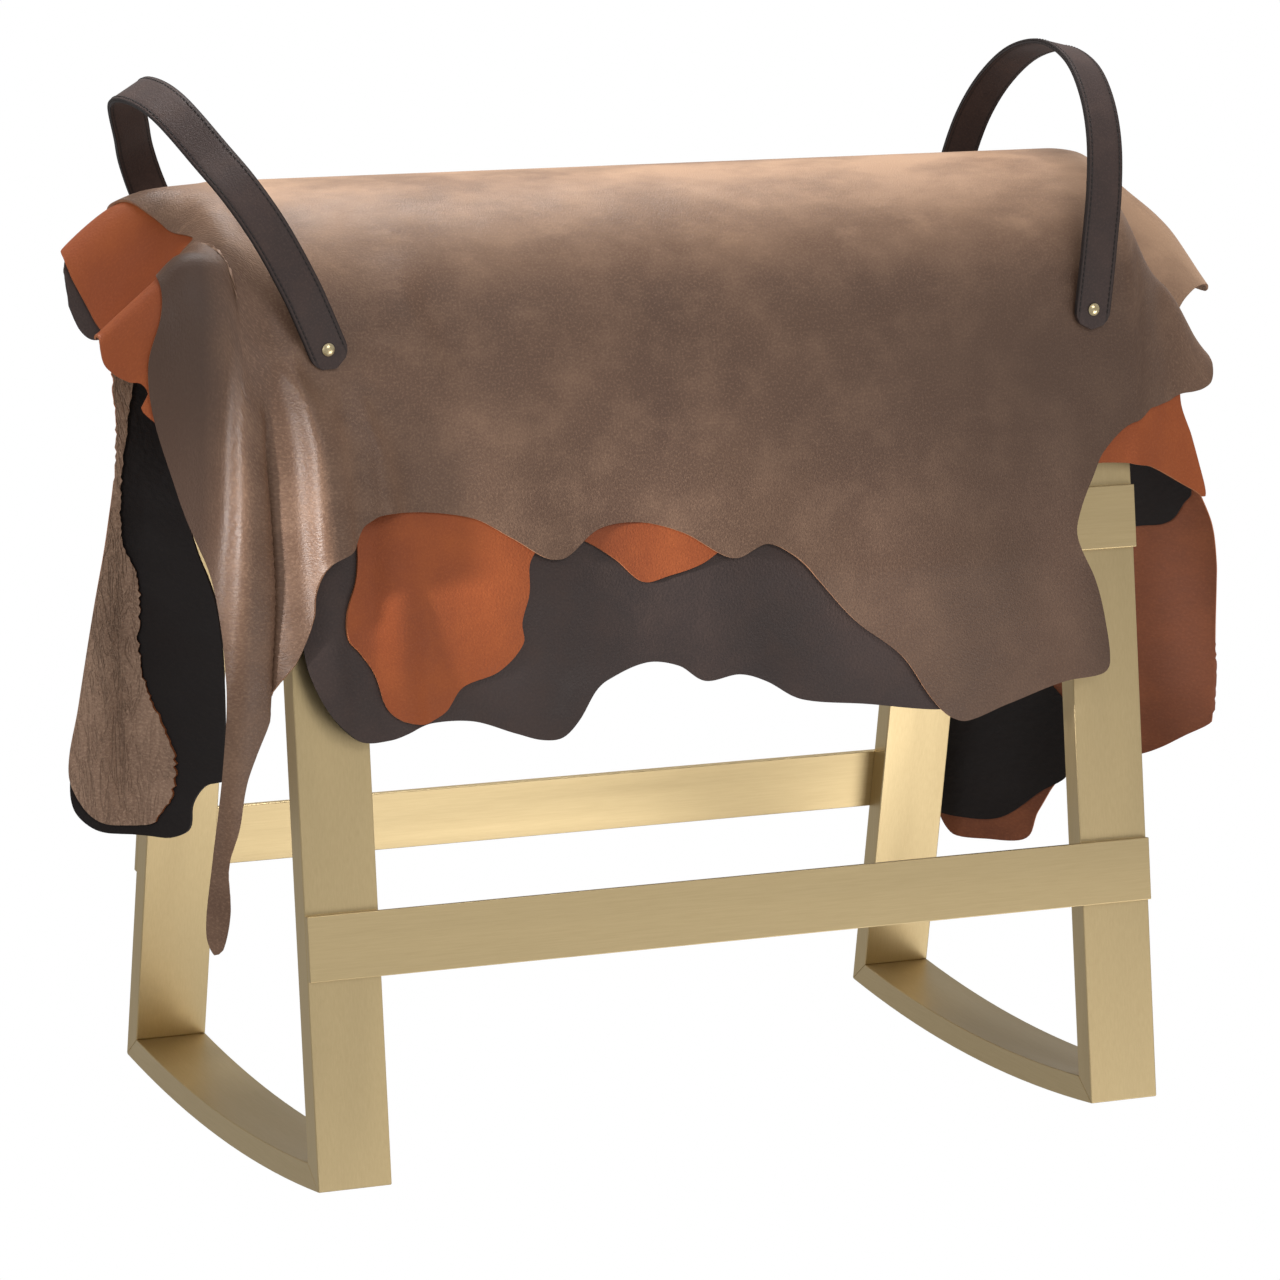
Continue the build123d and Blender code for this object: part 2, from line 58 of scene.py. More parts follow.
leg_splay = radians(8.5)
rocker_radius = 1650
bar_thickness = 5
upper_rail_drop = 142
upper_rail_height = 49.4
rivet_inset = 36
half_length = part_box("back_upper_rail")[1].x / MM
frame_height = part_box("left_arch")[1].z / MM
foot_half_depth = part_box("left_rocker")[1].y / MM
foot_height = rocker_radius - sqrt(rocker_radius**2 - foot_half_depth**2)
arch_centre = (
    frame_height - foot_half_depth * cos(leg_splay) - foot_height * sin(leg_splay)
) / (1 - sin(leg_splay))
arch_radius = frame_height - arch_centre
spring_height = arch_centre + arch_radius * sin(leg_splay)
rail_top = spring_height - upper_rail_drop
rail_bottom = rail_top - upper_rail_height
rivet_x = half_length - rivet_inset

# Hides: thickness, gap between two of them, depth of a full fold at the hem, and the height
# down to which the drape is worked out

hide_thickness = 2.0
layer_gap = 0.3
fold_depth = 16
blank_bottom = 120

# Spacing of a hide's points: along its edge, past the ends of the seat, and over the seat, which
# counts from a little inside the ends. Staggered rows lie this share of a step apart, and points
# stay this share of an edge's step away from it.

hem_step = 3.0
fine_step = 4.5
coarse_step = 7.0
seat_inset = 75
row_share = 0.87
rim_share = 0.7


def hermite(start, end, start_slope, end_slope, t):
    """Cubic from start to end with these slopes, at a share t of the way."""
    return (
        start * (2 * t**3 - 3 * t**2 + 1)
        + end * (3 * t**2 - 2 * t**3)
        + start_slope * (t**3 - 2 * t**2 + t)
        + end_slope * (t**3 - t**2)
    )


def flow(knots, values, places):
    """Smooth curve through values at knots, with no overshoot, read at places."""
    knots = np.asarray(knots, float)
    values = np.broadcast_to(values, (len(knots), len(places)))
    spans = np.diff(knots)[:, None]
    rise = np.diff(values, axis=0) / spans
    slopes = np.zeros_like(values, dtype=float)
    slopes[0] = rise[0]
    slopes[-1] = rise[-1]
    before = rise[:-1]
    after = rise[1:]
    same_way = before * after > 0
    heavy = 2 * spans[1:] + spans[:-1]
    light = spans[1:] + 2 * spans[:-1]
    safe_before = np.where(same_way, before, 1)
    safe_after = np.where(same_way, after, 1)
    mean = (heavy + light) / (heavy / safe_before + light / safe_after)
    slopes[1:-1] = np.where(same_way, mean, 0)
    index = np.clip(np.searchsorted(knots, places, side="right") - 1, 0, len(knots) - 2)
    span = spans[index, 0]
    t = np.clip((places - knots[index]) / span, 0, 1)
    column = np.arange(len(places))
    return hermite(
        values[index, column],
        values[index + 1, column],
        slopes[index, column] * span,
        slopes[index + 1, column] * span,
        t,
    )


# Cut pattern. Along a hide's width the pattern's first way is X, and its second runs over the
# seat from the crown: to the middle of each shoulder, the spring, the top and bottom of the
# upper rail and the lowest hem. The front is the negative side.

shoulder, spring, fall_top, fall_rail, fall_end = 101, 183, 325, 374, 708
half_knots = (0, shoulder, spring, fall_top, fall_rail, fall_end)
whole_knots = [-knot for knot in half_knots[:0:-1]] + list(half_knots)

# Drape between the ends: place along X in half lengths, swell of the hem in fold depths, and
# how much the hem follows the legs' slope (1) or hangs plumb (0).
front_drape_shares = [
    (-1, 0, 1), (-0.965, 0.45, 1), (-0.925, 0.75, 1), (-0.88, 0.3, 1), (-0.83, 0.1, 1),
    (-0.77, 0.7, 0.7), (-0.70, 0.2, 0.3), (-0.5, 0.35, 0), (-0.28, 0, 0), (0, 0.3, 0),
    (0.3, 0, 0), (0.55, 0.35, 0), (0.8, 0, 0.8), (1, 0, 1),
]
back_drape_shares = [
    (-1, 0, 1), (-0.965, 0.2, 1), (-0.925, 0.3, 1), (-0.88, 0.2, 1), (-0.83, 0, 1),
    (-0.77, 0.4, 0.7), (-0.70, 0, 0.3), (-0.5, 0.5, 0), (-0.28, 0, 0), (0, 0.4, 0),
    (0.3, 0, 0), (0.55, 0.5, 0), (0.8, 0, 0.8), (1, 0, 1),
]

# Cross-sections where the hides hang free past the ends: place along the overhang, then in
# shares of the arch's radius, as depth and height from its centre, the crown, front shoulder and
# ridge, the depth of the front fall at the rail's top, bottom and hem, and the same for the back.
left_overhang = 127
right_overhang = 175
left_end_shares = [
    (1, (0, 0.62), (-0.38, 0.0), (-0.72, 0.20), (-0.77, -0.77, -0.77),
     (0.38, 0.28), (0.58, -0.12), (0.54, 0.54, 0.54)),
    (0.6, (0, 0.92), (-0.38, 0.36), (-0.71, 0.54), (-0.98, -1.0, -1.02),
     (0.52, 0.52), (0.73, 0.11), (0.42, 0.38, 0.38)),
    (0.44, (0, 0.97), (-0.37, 0.52), (-0.69, 0.66), (-1.05, -1.09, -1.12),
     (0.55, 0.60), (0.77, 0.15), (0.36, 0.32, 0.32)),
    (0.29, (0, 0.985), (-0.42, 0.73), (-0.71, 0.64), (-1.10, -1.16, -1.19),
     (0.60, 0.66), (0.80, 0.19), (0.27, 0.14, 0.12)),
    (0.18, (0, 0.99), (-0.55, 0.79), (-0.85, 0.35), (-1.12, -1.17, -1.22),
     (0.63, 0.68), (0.82, 0.2), (0.16, -0.12, -0.18)),
    (0.09, (0, 0.995), (-0.65, 0.735), (-0.945, 0.205), (-1.14, -1.18, -1.26),
     (0.66, 0.70), (0.83, 0.22), (0.0, -0.40, -0.50)),
]
right_end_shares = [
    (0.08, (0.02, 0.985), (-0.57, 0.70), (-0.88, 0.34), (-1.17, -1.23, -1.45),
     (0.64, 0.68), (0.95, 0.21), (1.15, 1.22, 1.52)),
    (0.24, (0.09, 0.86), (-0.30, 0.16), (-0.75, 0.20), (-1.08, -1.16, -1.25),
     (0.55, 0.60), (0.88, 0.22), (1.07, 1.12, 1.25)),
    (0.42, (0.15, 0.68), (-0.24, -0.16), (-0.79, -0.19), (-1.02, -1.08, -1.10),
     (0.52, 0.40), (0.80, 0.05), (0.92, 0.95, 1.0)),
    (0.61, (0.15, 0.46), (-0.26, -0.26), (-0.84, -0.50), (-0.94, -0.94, -0.94),
     (0.42, 0.20), (0.62, -0.12), (0.66, 0.66, 0.66)),
    (0.8, (0.13, 0.10), (-0.34, -0.45), (-0.87, -0.82), (-0.90, -0.90, -0.90),
     (0.33, -0.08), (0.46, -0.30), (0.42, 0.42, 0.42)),
    (1, (0.08, -0.28), (-0.36, -0.70), (-0.80, -0.87), (-0.86, -0.86, -0.86),
     (0.16, -0.42), (0.18, -0.58), (0.12, 0.12, 0.12)),
]


# Turn from the crown to the middle of a shoulder, and the share of a fold's swell at the crown,
# the rail's top, its bottom and the hem
shoulder_turn = radians(45)
swell_shares = [[0], [0.3], [0.5], [1]]


def leg_face(z):
    """Depth of the legs' outer face at height z."""
    return foot_half_depth - (z - foot_height) * tan(leg_splay)


def core_side(run, swell, follow):
    """Depth and height of one side of the drape at these runs from the crown."""
    below_shoulder = (run - shoulder) / (spring - shoulder)
    turn = np.where(
        run < shoulder,
        shoulder_turn * run / shoulder,
        shoulder_turn + (shoulder_turn - leg_splay) * below_shoulder,
    )
    falls = (spring, fall_top, fall_rail, fall_end)
    height = np.interp(run, falls, (spring_height, rail_top, rail_bottom, blank_bottom))
    onto_rail = np.clip((run - spring) / (fall_top - spring), 0, 1)
    below = np.clip((run - fall_rail) / (fall_end - fall_rail), 0, 1)
    bulge = swell * fold_depth * flow((0, fall_top, fall_rail, fall_end), swell_shares, run)
    slope = leg_face(height)
    plumb = leg_face(np.maximum(height, rail_bottom))
    over_rail = (bar_thickness + layer_gap) / cos(leg_splay)
    depth = (
        np.where(below > 0, follow * slope + (1 - follow) * plumb, slope)
        + over_rail * onto_rail**2 * (3 - 2 * onto_rail)
        + bulge
    )
    on_barrel = run < spring
    y = np.where(on_barrel, arch_radius * np.sin(turn), depth)
    z = np.where(on_barrel, arch_centre + arch_radius * np.cos(turn), height)
    return y, z


def core_row(front, back, p):
    """Depth and height of the drape over the seat, from the swell and follow of each side."""
    front_y, front_z = core_side(-p, *front)
    back_y, back_z = core_side(p, *back)
    return np.where(p < 0, -front_y, back_y), np.where(p < 0, front_z, back_z)


def end_row(shares, p):
    """Depth and height of the drape past an end of the seat, from one cross-section."""
    crown, front_middle, front_ridge, front_falls, back_middle, back_ridge, back_falls = shares
    heights = (rail_top, rail_bottom, blank_bottom)
    bends = [
        (y * arch_radius, arch_centre + z * arch_radius)
        for y, z in (front_ridge, front_middle, crown, back_middle, back_ridge)
    ]
    front_fall = [(y * arch_radius, z) for y, z in zip(front_falls, heights)][::-1]
    back_fall = [(y * arch_radius, z) for y, z in zip(back_falls, heights)]
    points = np.array(front_fall + bends + back_fall)
    return flow(whole_knots, points[:, :1], p), flow(whole_knots, points[:, 1:], p)


rows = (
    [(-half_length - row[0] * left_overhang, end_row, (row[1:],)) for row in left_end_shares]
    + [
        (front[0] * half_length, core_row, (front[1:], back[1:]))
        for front, back in zip(front_drape_shares, back_drape_shares)
    ]
    + [(half_length + row[0] * right_overhang, end_row, (row[1:],)) for row in right_end_shares]
)
row_places = [row[0] for row in rows]

# The drape is worked out once on a fine grid of the pattern, which all four hides are read from.
# A point on the grid's last line is read just before it.

grid_step = 3
grid_end = 1.001
grid_low = -half_length - left_overhang - grid_step
grid_high = half_length + right_overhang + 2 * grid_step
grid_x = np.arange(grid_low, grid_high, grid_step)
grid_p = np.arange(-fall_end, fall_end + grid_step, grid_step)
grid_place_x, grid_place_p = np.meshgrid(grid_x, grid_p, indexing="ij")


def drape_grid():
    """Places in space of the pattern's grid, before any fold."""
    sections = [make(*facts, grid_p) for _, make, facts in rows]
    depths = np.array([section[0] for section in sections])
    heights = np.array([section[1] for section in sections])
    y = np.array([flow(row_places, column[:, None], grid_x) for column in depths.T]).T
    z = np.array([flow(row_places, column[:, None], grid_x) for column in heights.T]).T
    return np.stack((grid_place_x, y, z), axis=2)


def facings(surface):
    """Outward way at each point of a grid surface."""
    out = np.cross(np.gradient(surface, axis=0), np.gradient(surface, axis=1))
    return out / np.linalg.norm(out, axis=2)[:, :, None]


def read(field, x, p):
    """Values of a grid field at pattern points."""
    column = np.clip((x - grid_x[0]) / grid_step, 0, len(grid_x) - grid_end)
    line = np.clip((p - grid_p[0]) / grid_step, 0, len(grid_p) - grid_end)
    i = column.astype(int)
    j = line.astype(int)
    s = (column - i)[:, None]
    t = (line - j)[:, None]
    near = field[i, j] * (1 - t) + field[i, j + 1] * t
    far = field[i + 1, j] * (1 - t) + field[i + 1, j + 1] * t
    return near * (1 - s) + far * s


bare_drape = drape_grid()
fall_samples = 300


def fall(x, z, side):
    """Pattern run on one side at which the drape at x has height z."""
    runs = np.linspace(spring, fall_end - grid_step, fall_samples)
    heights = read(bare_drape, np.full(fall_samples, x), side * runs)[:, 2]
    return side * float(np.interp(-z, -heights, runs))


def on_side(points, side):
    """Pattern points of places given in X and height on the front (-1) or the back (1)."""
    return [(x, fall(x, z, side)) for x, z in points]


# Folds that stand out of the drape: a line down the pattern, each point with the fold's
# height and its half widths to the left and to the right there.
folds = [
    # Hollow between the two folds of the left tail
    [(-372, -205, 0, 10, 5), (-373, -240, -3, 10, 5), (-373, -300, -4, 10, 5), (-373, -400, -4, 10, 5),
     (-376, -470, 0, 10, 6)],
    # Slack between the straps
    [(-200, -190, 0, 40, 40), (-196, -300, 4, 46, 46), (-180, -420, 6, 46, 46)],
    [(-30, -230, 0, 46, 46), (-20, -340, 4, 50, 50), (-10, -460, 6, 50, 50)],
    [(150, -220, 0, 50, 50), (160, -380, 4, 55, 55), (180, -560, 7, 50, 50)],
    [(300, -250, 0, 26, 26), (306, -360, 5, 28, 28), (312, -520, 6, 30, 30)],
    # Back panel on the right
    [(430, 260, 0, 26, 26), (425, 400, 7, 26, 26), (418, 640, 8, 26, 26)],
    [(490, 260, 0, 18, 18), (490, 420, 6, 18, 18), (488, 600, 6, 18, 18)],
    # Back flaps on the left
    [(-418, 260, 0, 16, 16), (-420, 420, 6, 16, 16), (-424, 600, 8, 18, 18)],
    # Back hems in the middle
    [(-210, 240, 0, 60, 60), (-200, 420, 8, 60, 60)],
    [(110, 240, 0, 60, 60), (120, 420, 8, 60, 60)],
]

# Sharper folds of the top hide alone
top_folds = [
    # Crease down the left tail
    [(-382, -190, 0, 5, 12), (-388, -237, 9, 5, 18), (-395, -285, 15, 6, 23), (-400, -340, 16, 6, 25),
     (-404, -430, 12, 6, 24), (-408, -520, 6, 6, 12), (-409, -600, 2, 5, 6)],
    # Fold from beside the left strap to the hem
    [(-360, -186, 0, 8, 8), (-356, -199, 6, 8, 8), (-353, -212, 13, 8, 9),
     (-347, -231, 18, 9, 14), (-343, -260, 21, 10, 22), (-342, -312, 21, 10, 24), (-340, -350, 18, 10, 24),
     (-338, -400, 11, 12, 24)],
    # Edge of the plane beside the left leg
    [(-308, -212, 0, 24, 10), (-299, -240, 8, 30, 9), (-290, -264, 12, 32, 8), (-285, -318, 14, 34, 8),
     (-282, -360, 14, 36, 10)],
    # Puckers under and beside the left rivet
    [(-326, -206, 0, 5, 5), (-328, -222, 3, 5, 6), (-328, -245, 1, 6, 6)],
    [(-262, -110, 0, 26, 20), (-262, -150, 6, 28, 14), (-246, -200, 5, 30, 16), (-236, -240, 0, 30, 24)],
]


def fold_relief(x, p, line):
    """Height over the drape that one fold gives at these pattern points."""
    line = np.array(line, float)
    nearest = np.full(len(x), np.inf)
    relief = np.zeros(len(x))
    for start, end in zip(line, line[1:]):
        way = end[:2] - start[:2]
        t = np.clip(((x - start[0]) * way[0] + (p - start[1]) * way[1]) / (way @ way), 0, 1)
        across = x - start[0] - t * way[0]
        along = p - start[1] - t * way[1]
        distance = np.hypot(across, along)
        height, left_width, right_width = (start[k] + t * (end[k] - start[k]) for k in (2, 3, 4))
        width = np.where(across < 0, left_width, right_width)
        closer = distance < nearest
        relief = np.where(closer, height * np.exp(-((distance / width) ** 2)), relief)
        nearest = np.where(closer, distance, nearest)
    return relief


# Soft waves all over the hides: their lengths, how far they wind and lean, and their height on
# the seat and how much that grows down to the hem
wave_lengths = (210, 130, 85, 60)
wave_slants = (0.5, 1.1)
wave_wind = 0.6
wave_lean = 0.7
seat_slack = 0.25
hem_slack = 2.2
waves = [
    (2 * pi / length, rng.uniform(0, 2 * pi), rng.uniform(0, 2 * pi), rng.uniform(*wave_slants))
    for length in wave_lengths
]


def slack(x, p):
    """Soft unevenness of the hides, small on the seat and larger where they hang."""
    total = np.zeros(len(x))
    for step, phase_x, phase_p, slant in waves:
        winding = slant * np.sin(step * p * wave_wind)
        total += np.sin(step * x + phase_x + winding) * np.sin(step * slant * p * wave_lean + phase_p)
    hang = np.clip((np.abs(p) - spring) / (fall_end - spring), 0, 1)
    return (seat_slack + hem_slack * hang) * (total / len(waves) + 1) / 2


def folded_grid():
    """The drape with its slack and the folds that all hides share."""
    x = grid_place_x.ravel()
    p = grid_place_p.ravel()
    relief = slack(x, p)
    for line in folds:
        relief += fold_relief(x, p, line)
    return bare_drape + facings(bare_drape) * relief.reshape(grid_place_x.shape)[:, :, None]


draped = folded_grid()
draped_ways = facings(draped)


def rounded_outline(points, step):
    """Closed smooth curve through given pattern points, in steps of about this length."""
    loop = np.array(points, float)
    curve = []
    count = len(loop)
    for i in range(count):
        before, start, end, after = (loop[(i + k) % count] for k in (-1, 0, 1, 2))
        span = np.linalg.norm(end - start)
        start_slope = (end - before) / (np.linalg.norm(start - before) + span) * span
        end_slope = (after - start) / (np.linalg.norm(after - end) + span) * span
        for t in np.arange(0, 1, 1 / max(1, round(span / step))):
            curve.append(hermite(start, end, start_slope, end_slope, t))
    return np.array(curve)


def inside(points, loop):
    """Which points lie within a closed outline."""
    found = np.zeros(len(points), bool)
    for (x0, p0), (x1, p1) in zip(loop, np.roll(loop, -1, axis=0)):
        if p0 != p1:
            spans = (p0 > points[:, 1]) != (p1 > points[:, 1])
            crossing = x0 + (points[:, 1] - p0) * (x1 - x0) / (p1 - p0)
            found ^= spans & (points[:, 0] < crossing)
    return found


def distance_to(points, loop):
    """Distance from each point to the nearest point of a closely stepped outline."""
    batches = np.array_split(points, max(1, len(points) // 1000))
    return np.concatenate(
        [np.hypot(*(batch[:, None] - loop[None]).transpose(2, 0, 1)).min(1) for batch in batches]
    )


def pattern_grid(loop):
    """Staggered points that fill an outline, finer past the ends of the seat."""
    low, high = loop.min(0), loop.max(0)
    core = half_length - seat_inset
    zones = ((low[0], -core, fine_step), (-core, core, coarse_step), (core, high[0], fine_step))
    filled = []
    for left, right, step in zones:
        for i, p in enumerate(np.arange(low[1], high[1], step * row_share)):
            places = np.arange(left + step / 2 * (i % 2), right, step)
            filled.append(np.column_stack((places, np.full(len(places), p))))
    points = np.concatenate(filled)
    points = points[inside(points, loop)]
    return points[distance_to(points, loop) > hem_step * rim_share]


# Outlines of the four hides, in X and height on the front and the back, and in X and run from
# the crown where an edge passes over the top. The fronts and ends follow the photograph.

top_front = [
    (-441, 690), (-446, 670), (-457, 636), (-455, 598), (-440, 540), (-418, 477), (-408, 400), (-410, 340),
    (-418, 255), (-422, 205), (-417, 188), (-411, 192), (-406, 222), (-407, 256), (-401, 285), (-395, 327),
    (-379, 367), (-360, 415), (-350, 445), (-348, 465), (-341, 482), (-322, 496), (-309, 512), (-278, 519),
    (-219, 512), (-186, 494), (-160, 478), (-143, 477), (-112, 497), (-77, 500), (-42, 490), (-2, 468),
    (28, 477),
    (50, 468), (69, 452), (106, 414), (147, 383), (173, 347), (188, 332), (204, 327), (241, 338),
    (291, 353), (320, 357), (326, 365), (323, 400), (316, 430), (302, 466), (307, 489), (320, 514),
    (331, 531), (358, 551), (384, 563), (405, 567), (426, 570), (444, 574), (449, 586),
]
top_right = [
    (448, -183), (446, -165), (444, -140), (450, -110), (464, -80), (484, -52), (501, -24), (512, 4),
    (511, 24), (502, 60), (490, 130),
]
top_back = [
    (482, 640), (474, 610), (462, 595), (440, 575), (410, 540), (370, 470), (320, 440), (260, 480),
    (200, 510), (130, 470), (60, 430), (0, 440), (-60, 480), (-120, 500), (-180, 470), (-240, 430),
    (-300, 450), (-340, 490), (-361, 540), (-364, 655), (-374, 655), (-376, 585), (-400, 600), (-420, 640),
]
top_left = [
    (-424, 150), (-429, 100), (-437, 55), (-443, 15), (-431, -16), (-415, -44), (-404, -72), (-398, -96),
    (-399, -103), (-404, -114), (-415, -132), (-427, -150), (-437, -172),
]

orange_front = [
    (-493, 650), (-491, 638), (-482, 628), (-471, 622), (-463, 621), (-458, 613), (-463, 603), (-456, 594),
    (-446, 587), (-400, 560), (-350, 520),
    (-314, 510), (-311, 494), (-314, 470), (-324, 446), (-324, 428), (-314, 417), (-301, 399), (-290, 371),
    (-266, 359), (-243, 366), (-228, 385), (-199, 396), (-180, 416), (-181, 432), (-175, 454), (-172, 477),
    (-150, 496), (-125, 489), (-98, 473), (-76, 455), (-54, 458), (-28, 465), (-10, 476), (20, 500),
    (60, 522), (150, 500), (200, 480), (260, 500), (310, 520), (351, 521), (372, 517), (398, 505),
    (423, 492), (434, 486), (432, 505), (424, 535), (414, 565),
]
orange_right = [
    (418, -183), (428, -140), (440, -100), (456, -50), (474, 0), (490, 60), (500, 120), (506, 170),
]
orange_back = [
    (508, 600), (509, 540), (514, 490), (522, 462), (532, 429), (537, 380), (539, 338), (545, 284),
    (538, 264), (520, 248), (497, 230), (470, 218), (445, 203), (430, 170), (424, 145), (400, 141),
    (375, 143), (364, 190), (356, 230), (342, 262), (290, 330), (240, 400), (180, 430), (120, 400),
    (60, 380), (0, 400), (-60, 450), (-140, 470), (-200, 430), (-240, 400), (-300, 410), (-340, 450),
    (-361, 520), (-364, 655), (-374, 655),
]
orange_left = [
    (-386, 150), (-392, 100), (-402, 62), (-430, 36), (-468, 14), (-489, -3), (-488, -25), (-476, -65),
    (-468, -98), (-476, -135), (-491, -168),
]

dark_front = [
    (-361, 500), (-357, 430), (-352, 401), (-334, 365), (-314, 350), (-290, 350), (-267, 357), (-221, 358),
    (-182, 345), (-160, 338), (-142, 338), (-128, 350), (-114, 372), (-104, 380), (-71, 392), (-45, 388),
    (-24, 375), (5, 378), (30, 370), (62, 353), (120, 345), (196, 337), (240, 350), (270, 370),
    (297, 410), (300, 520), (330, 580), (356, 620),
]
dark_right = [(380, -170), (400, -120), (430, -60), (462, 0), (480, 60), (492, 120), (498, 170)]
dark_back = [
    (502, 600), (508, 520), (515, 475), (518, 462), (519, 455), (515, 448), (508, 433),
    (500, 427), (485, 424), (450, 410), (438, 340), (431, 290),
    (444, 265), (447, 205), (430, 185), (407, 162), (385, 158), (362, 164), (355, 200), (356, 263),
    (330, 290), (290, 360), (230, 420), (160, 400), (80, 370), (0, 400), (-100, 440), (-180, 420),
    (-260, 400), (-330, 430), (-361, 480), (-364, 655), (-374, 655), (-385, 520), (-386, 473), (-381, 434),
    (-379, 385), (-379, 312), (-379, 299), (-386, 289), (-391, 272), (-393, 250), (-404, 240),
    (-442, 242), (-462, 258), (-466, 284), (-457, 342), (-445, 423), (-429, 514), (-422, 556), (-418, 600),
]
dark_left = [
    (-410, 170), (-400, 110), (-396, 60), (-424, 30), (-458, 8), (-487, -8), (-495, -30), (-491, -52),
    (-476, -84), (-440, -120), (-400, -135), (-366, -170),
]

inner_front = [
    (-355, 500), (-300, 430), (-230, 405), (-160, 395), (-100, 425), (-40, 430), (40, 412), (120, 392),
    (200, 402), (255, 430), (290, 520), (325, 600), (352, 625),
]
inner_right = [(361, -160), (362, -80), (362, 0), (362, 80), (362, 150)]
inner_back = [
    (361, 600), (356, 480), (340, 432), (300, 440), (240, 470), (160, 440), (80, 420), (-20, 450),
    (-120, 460), (-220, 430), (-300, 440), (-352, 490), (-364, 655), (-374, 655), (-390, 640), (-408, 585),
    (-421, 540), (-427, 505), (-426, 470), (-418, 446), (-417, 420),
    (-418, 395), (-414, 360), (-405, 333), (-398, 308), (-399, 278), (-406, 258), (-414, 248),
    (-440, 249), (-456, 262), (-467, 290), (-460, 342), (-448, 423),
    (-432, 514), (-425, 556), (-421, 600),
]
inner_left = [
    (-414, 170), (-402, 110), (-394, 60), (-418, 30), (-434, 0), (-426, -40), (-404, -80), (-380, -120),
    (-361, -170),
]

hides = [
    ("inner_brown", inner_front, inner_right, inner_back, inner_left),
    ("dark", dark_front, dark_right, dark_back, dark_left),
    ("orange", orange_front, orange_right, orange_back, orange_left),
    ("top", top_front, top_right, top_back, top_left),
]


def linear(paint):
    """Shader colour of a paint given as red, green and blue from 0 to 255."""
    shares = [part / 255 for part in paint]
    return (*(((c + 0.055) / 1.055) ** 2.4 if c > 0.04045 else c / 12.92 for c in shares), 1)


# Places of the colour sockets on a Mix node, where several sockets share each name
mix_factor = 0
mix_first = 6
mix_second = 7
mix_result = 2


class Shades:
    """A material's or a group's nodes, with short ways to add and join them."""

    def __init__(self, tree):
        self.tree = tree

    def add(self, kind, **settings):
        made = self.tree.nodes.new(kind)
        for name, value in settings.items():
            setattr(made, name, value)
        return made

    def feed(self, socket, value):
        if isinstance(value, bpy.types.NodeSocket):
            self.tree.links.new(value, socket)
        else:
            socket.default_value = value

    def fill(self, node, **entries):
        """Feed a node's named inputs, with _ for a space."""
        for name, value in entries.items():
            self.feed(node.inputs[name.replace("_", " ").title()], value)
        return node

    def math(self, operation, *values):
        made = self.add("ShaderNodeMath", operation=operation)
        for socket, value in zip(made.inputs, values):
            self.feed(socket, value)
        return made.outputs[0]

    def product(self, first, *others):
        for other in others:
            first = self.math("MULTIPLY", first, other)
        return first

    def noise(self, vector, scale=1.0, detail=3.0, roughness=0.5, distortion=0.0):
        made = self.add("ShaderNodeTexNoise")
        self.fill(made, vector=vector, scale=scale, detail=detail)
        self.fill(made, roughness=roughness, distortion=distortion)
        return made.outputs["Fac"]

    def stretch(self, vector, scales):
        made = self.add("ShaderNodeMapping")
        return self.fill(made, vector=vector, scale=scales).outputs["Vector"]

    def apart(self, vector):
        """X and Y of a vector."""
        made = self.fill(self.add("ShaderNodeSeparateXYZ"), vector=vector)
        return made.outputs["X"], made.outputs["Y"]

    def span(self, value, source, target=(0.0, 1.0)):
        """Value carried over from a source range to a target range, and held at its ends."""
        made = self.add("ShaderNodeMapRange")
        self.fill(made, value=value, from_min=source[0], from_max=source[1])
        return self.fill(made, to_min=target[0], to_max=target[1]).outputs[0]

    def mix(self, factor, first, second):
        made = self.add("ShaderNodeMix", data_type="RGBA")
        self.feed(made.inputs[mix_factor], factor)
        self.feed(made.inputs[mix_first], first)
        self.feed(made.inputs[mix_second], second)
        return made.outputs[mix_result]

    def bump(self, height, depth):
        made = self.add("ShaderNodeBump")
        return self.fill(made, strength=1.0, distance=depth * MM, height=height).outputs["Normal"]


def material(name, **constants):
    """New material, its nodes and its shader, with constants set on the shader's own sockets."""
    made = bpy.data.materials.new(name)
    made.use_nodes = True
    shader = made.node_tree.nodes["Principled BSDF"]
    for socket, value in constants.items():
        shader.inputs[socket.replace("_", " ")].default_value = value
    return made, Shades(made.node_tree), shader


def reopened(made):
    """Nodes, shader, pattern place and base colour of a hide's finish, to paint more on it."""
    nodes = made.node_tree.nodes
    shader = nodes["Principled BSDF"]
    plain = shader.inputs["Base Color"].links[0].from_socket
    return Shades(made.node_tree), shader, nodes["UV Map"].outputs["UV"], plain


def effect(name, inputs, outputs):
    """Empty node group with named inputs and outputs, and its two end nodes."""
    group = bpy.data.node_groups.new(name, "ShaderNodeTree")
    for socket, kind in inputs:
        group.interface.new_socket(socket, in_out="INPUT", socket_type=kind)
    for socket in outputs:
        group.interface.new_socket(socket, in_out="OUTPUT", socket_type="NodeSocketFloat")
    shades = Shades(group)
    return group, shades, shades.add("NodeGroupInput"), shades.add("NodeGroupOutput")


